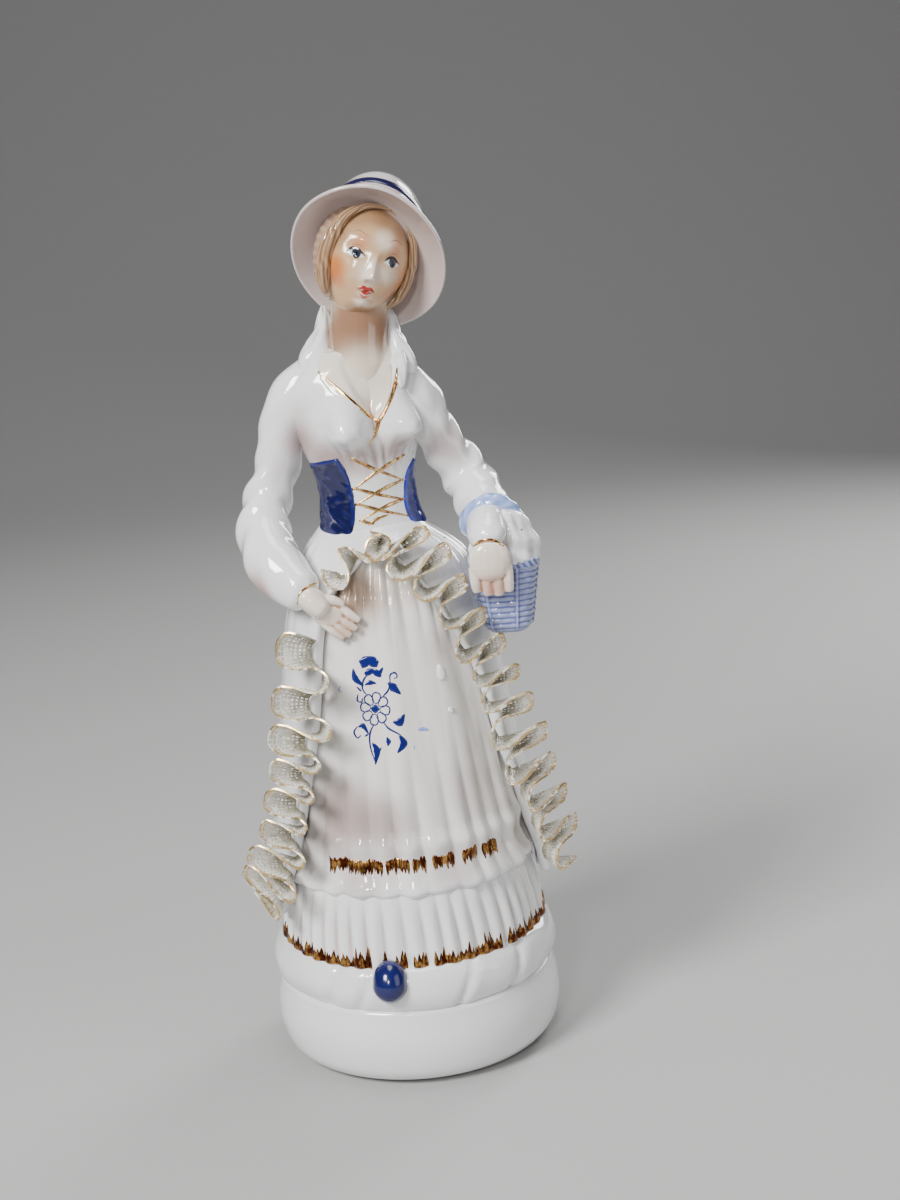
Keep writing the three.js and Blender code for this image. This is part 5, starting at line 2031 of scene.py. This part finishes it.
    def flower(self) -> None:
        """Paint the small blue flower spray on the front of the skirt."""
        brush = Brush(Canvas(-24.0, squeeze=(-4.3, 0.86)), [self.pieces["under"]], 0.05)
        cx, cz = -4.2, 97.6

        def draw(path: Line, widths: Sequence[float], steps: int) -> None:
            """Draw one stroke of the spray, with the head of the spray drawn down."""
            brush.stroke([(x, z - 2.4 - 0.14 * max(z - 100.0, 0.0)) for x, z in path], widths, steps)

        for k in range(8):
            turn = k * TURN / 8 + 0.2
            out = np.array([math.sin(turn), math.cos(turn)])
            tip, root = out * 4.1, out * 1.3
            side = np.array([out[1], -out[0]])
            loop = [root, root * 1.6 + side * 1.0, tip * 0.92 + side * 1.05, tip * 1.04]
            loop += [tip * 0.92 - side * 1.05, root * 1.6 - side * 1.0, root]
            brush.stroke([(cx + p[0], cz + p[1]) for p in loop], [0.3, 0.4, 0.5, 0.4, 0.3], 20)
        brush.stroke([(cx - 1.2, cz + 0.1), (cx + 1.2, cz - 0.1)], [0.6, 2.2, 2.2, 0.6], 8)
        leaves = [
            ([(-7.4, 113.6), (-4.8, 114.6), (-2.2, 113.2)], [2.2, 3, 2.4, 3, 1.6]),
            ([(-6.4, 110.6), (-4, 111.4), (-1.6, 109.6)], [0.8, 2, 1.4, 2, 0.8]),
            ([(-3.6, 110.4), (-2, 110.8), (-0.9, 112.2)], [0.4, 1.4, 0.5]),
            ([(-9.6, 112.6), (-9.2, 109.6), (-7, 107.2)], [0.5, 2, 0.6]),
            ([(-6.6, 107.4), (-5, 108), (-3.2, 107.6)], [0.3, 1.5, 0.3]),
            ([(0.2, 107.6), (1.6, 106), (3.6, 103.8)], [0.6, 2.6, 0.5]),
            ([(0.6, 96.2), (2.6, 96), (4.2, 98)], [0.5, 2.6, 0.5]),
            ([(-9.6, 95.6), (-8.2, 95.8), (-6.8, 93.6)], [0.4, 1.6, 0.4]),
            ([(-6, 91.2), (-4.8, 89), (-5.6, 85.4)], [0.5, 2.2, 0.4]),
            ([(2, 92.8), (3.2, 90.4), (1.2, 88)], [0.5, 2.5, 0.5]),
            ([(-1.6, 92.4), (-1.2, 91.2), (-1.5, 90)], [0.3, 1.7, 0.4]),
        ]
        for path, widths in leaves:
            draw(path, widths, 10)
        stems = [
            [(-4.9, 111), (-6.8, 109), (-7.4, 106.4), (-6.2, 104.2)],
            [(-1.6, 103.6), (0, 105.2), (0.8, 107.6)],
            [(0.8, 107.6), (1, 109.8), (2.4, 110.4), (3, 109.2), (2, 108.6)],
            [(-8.8, 104.8), (-9.2, 103), (-8, 102.4), (-7.6, 103.6)], [(-7.8, 105.6), (-9, 107)],
            [(-2.2, 96.4), (-0.8, 94.6), (1.2, 93.4), (2.6, 92.6)],
            [(-5, 96), (-6.4, 93.6), (-6.6, 90), (-5.4, 85.4)],
            [(-9.8, 95.8), (-11, 94.4), (-10.2, 92.8), (-9, 93.4)], [(-6.8, 93.6), (-8, 93)],
            [(-3.4, 89.8), (-5, 87.6)], [(2.6, 90.4), (2.6, 88.8)],
        ]
        for path in stems:
            draw(path, [0.35, 0.6, 0.5, 0.3], 16)
        finish(brush.lift("flower_spray"), self.palette.cobalt, Slot.COBALT, hollows=0)
        specks = Brush(Canvas(-24.0), [self.pieces["under"]], 0.05)
        specks.stroke([(6.0, 91.2), (7.4, 91.3), (8.8, 90.9)], [0.3, 1.2, 1.0, 0.3], 8)
        specks.stroke([(-12.4, 104.2), (-12.9, 103.2), (-12.2, 102.6)], [0.2, 0.45, 0.2], 6)
        specks.stroke([(4.6, 87.2), (4.8, 86.2)], [0.2, 0.4, 0.2], 4)
        finish(specks.lift("stray_blue_specks"), self.palette.pale_blue, Slot.COBALT, hollows=0)

    def face(self, head: Head) -> None:
        """Paint the face.

        Args:
            head: The head that it is painted on.
        """
        canvas = Canvas(pose=head.pose)
        skull = [self.pieces["skull"]]
        white = Brush(canvas, skull, 0.015)
        self.at_eyes(white, [(-2.1, 1.0), (0.0, 1.2), (2.0, 0.9)], [0.3, 1.6, 2.2, 1.6, 0.3], 20)
        self.paint(white, "eye_whites", (0.72, 0.73, 0.74))
        dark = Brush(canvas, skull, 0.05)
        self.at_eyes(dark, [(-2.2, 1.2), (-1.1, 2.2), (0.3, 2.4), (2.2, 1.3)], [0.25, 0.8, 0.8, 0.25], 16)
        self.paint(dark, "upper_lids", (0.035, 0.03, 0.035))
        self.at_eyes(dark, [(0.1, 2.25), (0.15, 1.2), (0.1, 0.1)], [1.9, 2.5, 2.5, 1.8, 0.6], 12)
        self.paint(dark, "irises", (0.02, 0.03, 0.045))
        pupils = Brush(canvas, skull, 0.07)
        self.at_eyes(pupils, [(0.1, 1.9), (0.1, 0.75)], [0.6, 1.15, 1.15, 0.5], 8)
        self.paint(pupils, "pupils", (0.006, 0.006, 0.01))
        soft = Brush(canvas, skull, 0.02)
        self.at_eyes(soft, [(-1.6, 2.9), (0.2, 3.5), (1.8, 2.8)], [0.06, 0.22, 0.06], 14)
        self.at_eyes(soft, [(-2.0, 5.9), (-0.3, 6.8), (2.0, 6.0)], [0.08, 0.26, 0.1], 16)
        self.paint(soft, "brows_and_creases", (0.3, 0.16, 0.1))
        lips = Brush(canvas, skull, 0.04)
        lips.stroke(
            [(-2.3, -6.8), (-1.0, -6.3), (0.0, -6.5), (1.0, -6.3), (2.2, -6.8)], [0.15, 1.1, 1.1, 1.1, 0.15],
            20
        )
        lips.stroke([(-1.2, -7.3), (0.0, -7.5), (1.2, -7.3)], [0.3, 1.2, 0.3], 12)
        self.paint(lips, "upper_lip", (0.36, 0.02, 0.015))
        lips.stroke([(-1.5, -7.8), (0.0, -8.5), (1.5, -7.8)], [0.2, 1.0, 0.2], 14)
        self.paint(lips, "lower_lip", (0.66, 0.17, 0.12))

    def at_eyes(self, brush: Brush, path: Line, widths: Sequence[float], steps: int) -> None:
        """Draw the same stroke at both eyes.

        Args:
            brush: The brush.
            path: Places across and up from the middle of an eye.
            widths: The stroke's widths.
            steps: Stations along it.
        """
        for middle in (-self.eye, self.eye):
            brush.stroke([(middle + x, z) for x, z in path], widths, steps)

    def paint(self, brush: Brush, name: str, colour: Triple) -> None:
        """Lift the strokes drawn so far as a painted detail of the face.

        Args:
            brush: The brush that drew them.
            name: The piece's name.
            colour: The paint.
        """
        paler = tuple(min(c * 1.6 + 0.01, 1.0) for c in colour)
        darker = tuple(c * 0.6 for c in colour)
        paint = Glaze(
            f"{name}_paint", colour, darker, paler, smoothness=0.1, coat=0.5, translucency=0.0,
            unevenness=0.003,
        )
        finish(brush.lift(name), paint.build(self.palette), Slot.FLESH, hollows=0)

    def extras(self) -> None:
        """Paint the dark specks on the hips, and raise the small slip drops on the skirt."""
        specks = Brush(Canvas(-20.0), [self.pieces["over"], self.pieces["cloth"]], 0.05)
        for x, z in ((17.2, 143.2), (16.4, 139.0), (35.6, 139.4), (36.0, 143.4)):
            specks.stroke([(x, z), (x + 0.5, z + 0.1)], [0.2, 0.5, 0.2], 5)
        if specks.points:
            finish(specks.lift("dark_specks"), self.palette.dark_and_shaded_cobalt, Slot.COBALT, hollows=0)
        drops = Brush(Canvas(-24.0), [self.pieces["under"]], 0.45)
        drops.stroke([(12.6, 107.8), (13.1, 105.6), (13.0, 103.6)], [0.7, 2.2, 2.6, 0.8], 12)
        drops.stroke([(14.4, 96.6), (15.0, 95.0)], [0.6, 1.9, 0.6], 8)
        finish(drops.lift("slip_drops"), self.palette.white, Slot.WHITE, hollows=2)


# ---- studio ------------------------------------------------------------------------------------------------


@dataclass
class Studio:
    """The floor, the soft lights and the camera."""

    pitch: float = 12.49
    roll: float = -4.6
    lens: float = 57.0
    sweep: float = 900.0

    def floor(self) -> None:
        """Lay a pale floor that curves up far behind."""

        def place(u: Array, v: Array) -> Points:
            """Give points of the swept floor."""
            length = v * 6500.0 - 2500.0
            bend = np.clip((length - self.sweep) / self.sweep, 0, math.pi / 2)
            beyond = np.maximum(length - self.sweep - self.sweep * math.pi / 2, 0)
            y = np.minimum(length, self.sweep) + self.sweep * np.sin(bend)
            return (u - 0.5) * 7000.0, y, -0.2 + self.sweep * (1 - np.cos(bend)) + beyond

        floor = shaped("studio_floor", 8, 90, place, closed=False)
        material, tree, shader = start_material("studio_paper")
        grain = add_node(
            tree, "TexNoise", {"Vector": add_node(tree, "TexCoord").outputs["Object"], "Scale": 600.0}
        )
        tone = add_node(
            tree, "Mix",
            {0: grain.outputs["Fac"], 6: rgba((0.40, 0.395, 0.39)), 7: rgba((0.43, 0.425, 0.42))},
            data_type="RGBA",
        )
        wire(tree, shader, {"Base Color": tone.outputs[2], "Roughness": 0.7})
        floor.data.materials.append(material)

    def light(self, name: str, place: Triple, size: tuple[float, float], power: float) -> None:
        """Hang one soft light that looks at the figurine.

        Args:
            name: Its name.
            place: Where it hangs, in metres.
            size: Its width and height, in metres.
            power: Its power in watts.
        """
        data = bpy.data.lights.new(name, "AREA")
        data.shape, data.size, data.size_y, data.energy = "RECTANGLE", size[0], size[1], power
        lamp = add_object(name, data)
        lamp.location = place
        lamp.rotation_euler = (Vector((0, 0, 0.12)) - Vector(place)).to_track_quat("-Z", "Y").to_euler()

    def build(self) -> None:
        """Set up the floor, the lights, the surroundings and the camera."""
        self.floor()
        self.light("key_light", (-0.5, -0.62, 0.72), (0.3, 0.3), 15.0)
        self.light("glint_light", (-0.12, -0.7, 0.42), (0.08, 0.08), 1.6)
        self.light("fill_light", (0.75, -0.5, 0.4), (0.5, 0.6), 1.7)
        self.light("top_light", (0.05, 0.05, 0.95), (0.4, 0.4), 3.4)
        self.light("rim_light", (0.45, 0.6, 0.45), (0.3, 0.4), 4.0)
        world = bpy.data.worlds.new("studio_air")
        bpy.context.scene.world = world
        world.use_nodes = True
        world.node_tree.nodes["Background"].inputs[0].default_value = (0.72, 0.74, 0.78, 1.0)
        world.node_tree.nodes["Background"].inputs[1].default_value = 0.15
        data = bpy.data.cameras.new("camera")
        data.lens, data.sensor_width, data.sensor_fit = self.lens, 36.0, "AUTO"
        data.clip_start, data.clip_end = 0.01, 20.0
        camera = add_object("camera", data)
        pitch, roll = math.radians(self.pitch), math.radians(self.roll)
        ahead = Vector((0, math.cos(pitch), -math.sin(pitch)))
        right = Vector((1, 0, 0))
        up = right.cross(ahead)
        side = right * math.cos(roll) + up * math.sin(roll)
        top = right * -math.sin(roll) + up * math.cos(roll)
        turn = Matrix((side, top, -ahead)).transposed()
        camera.matrix_world = Matrix.Translation(EYE * MM + AXIS) @ turn.to_4x4()
        bpy.context.scene.camera = camera


def main() -> None:
    """Build the figurine piece by piece, then the studio."""
    logging.basicConfig(level=logging.INFO, format="%(name)s %(message)s")
    palette = Palette()
    skirts = Skirts(palette)
    head = Head(palette)
    pieces = Base(palette).build()
    pieces |= skirts.build()
    pieces |= Torso(palette).build()
    pieces |= Arms(palette).build()
    pieces |= head.build()
    pieces |= Bonnet(palette).build()
    pieces |= Basket(palette).build()
    Lace(palette, skirts).build()
    decoration = Decoration(palette, pieces)
    decoration.dress()
    decoration.hems()
    decoration.flower()
    decoration.face(head)
    decoration.extras()
    Studio().build()


if __name__ == "__main__":
    main()
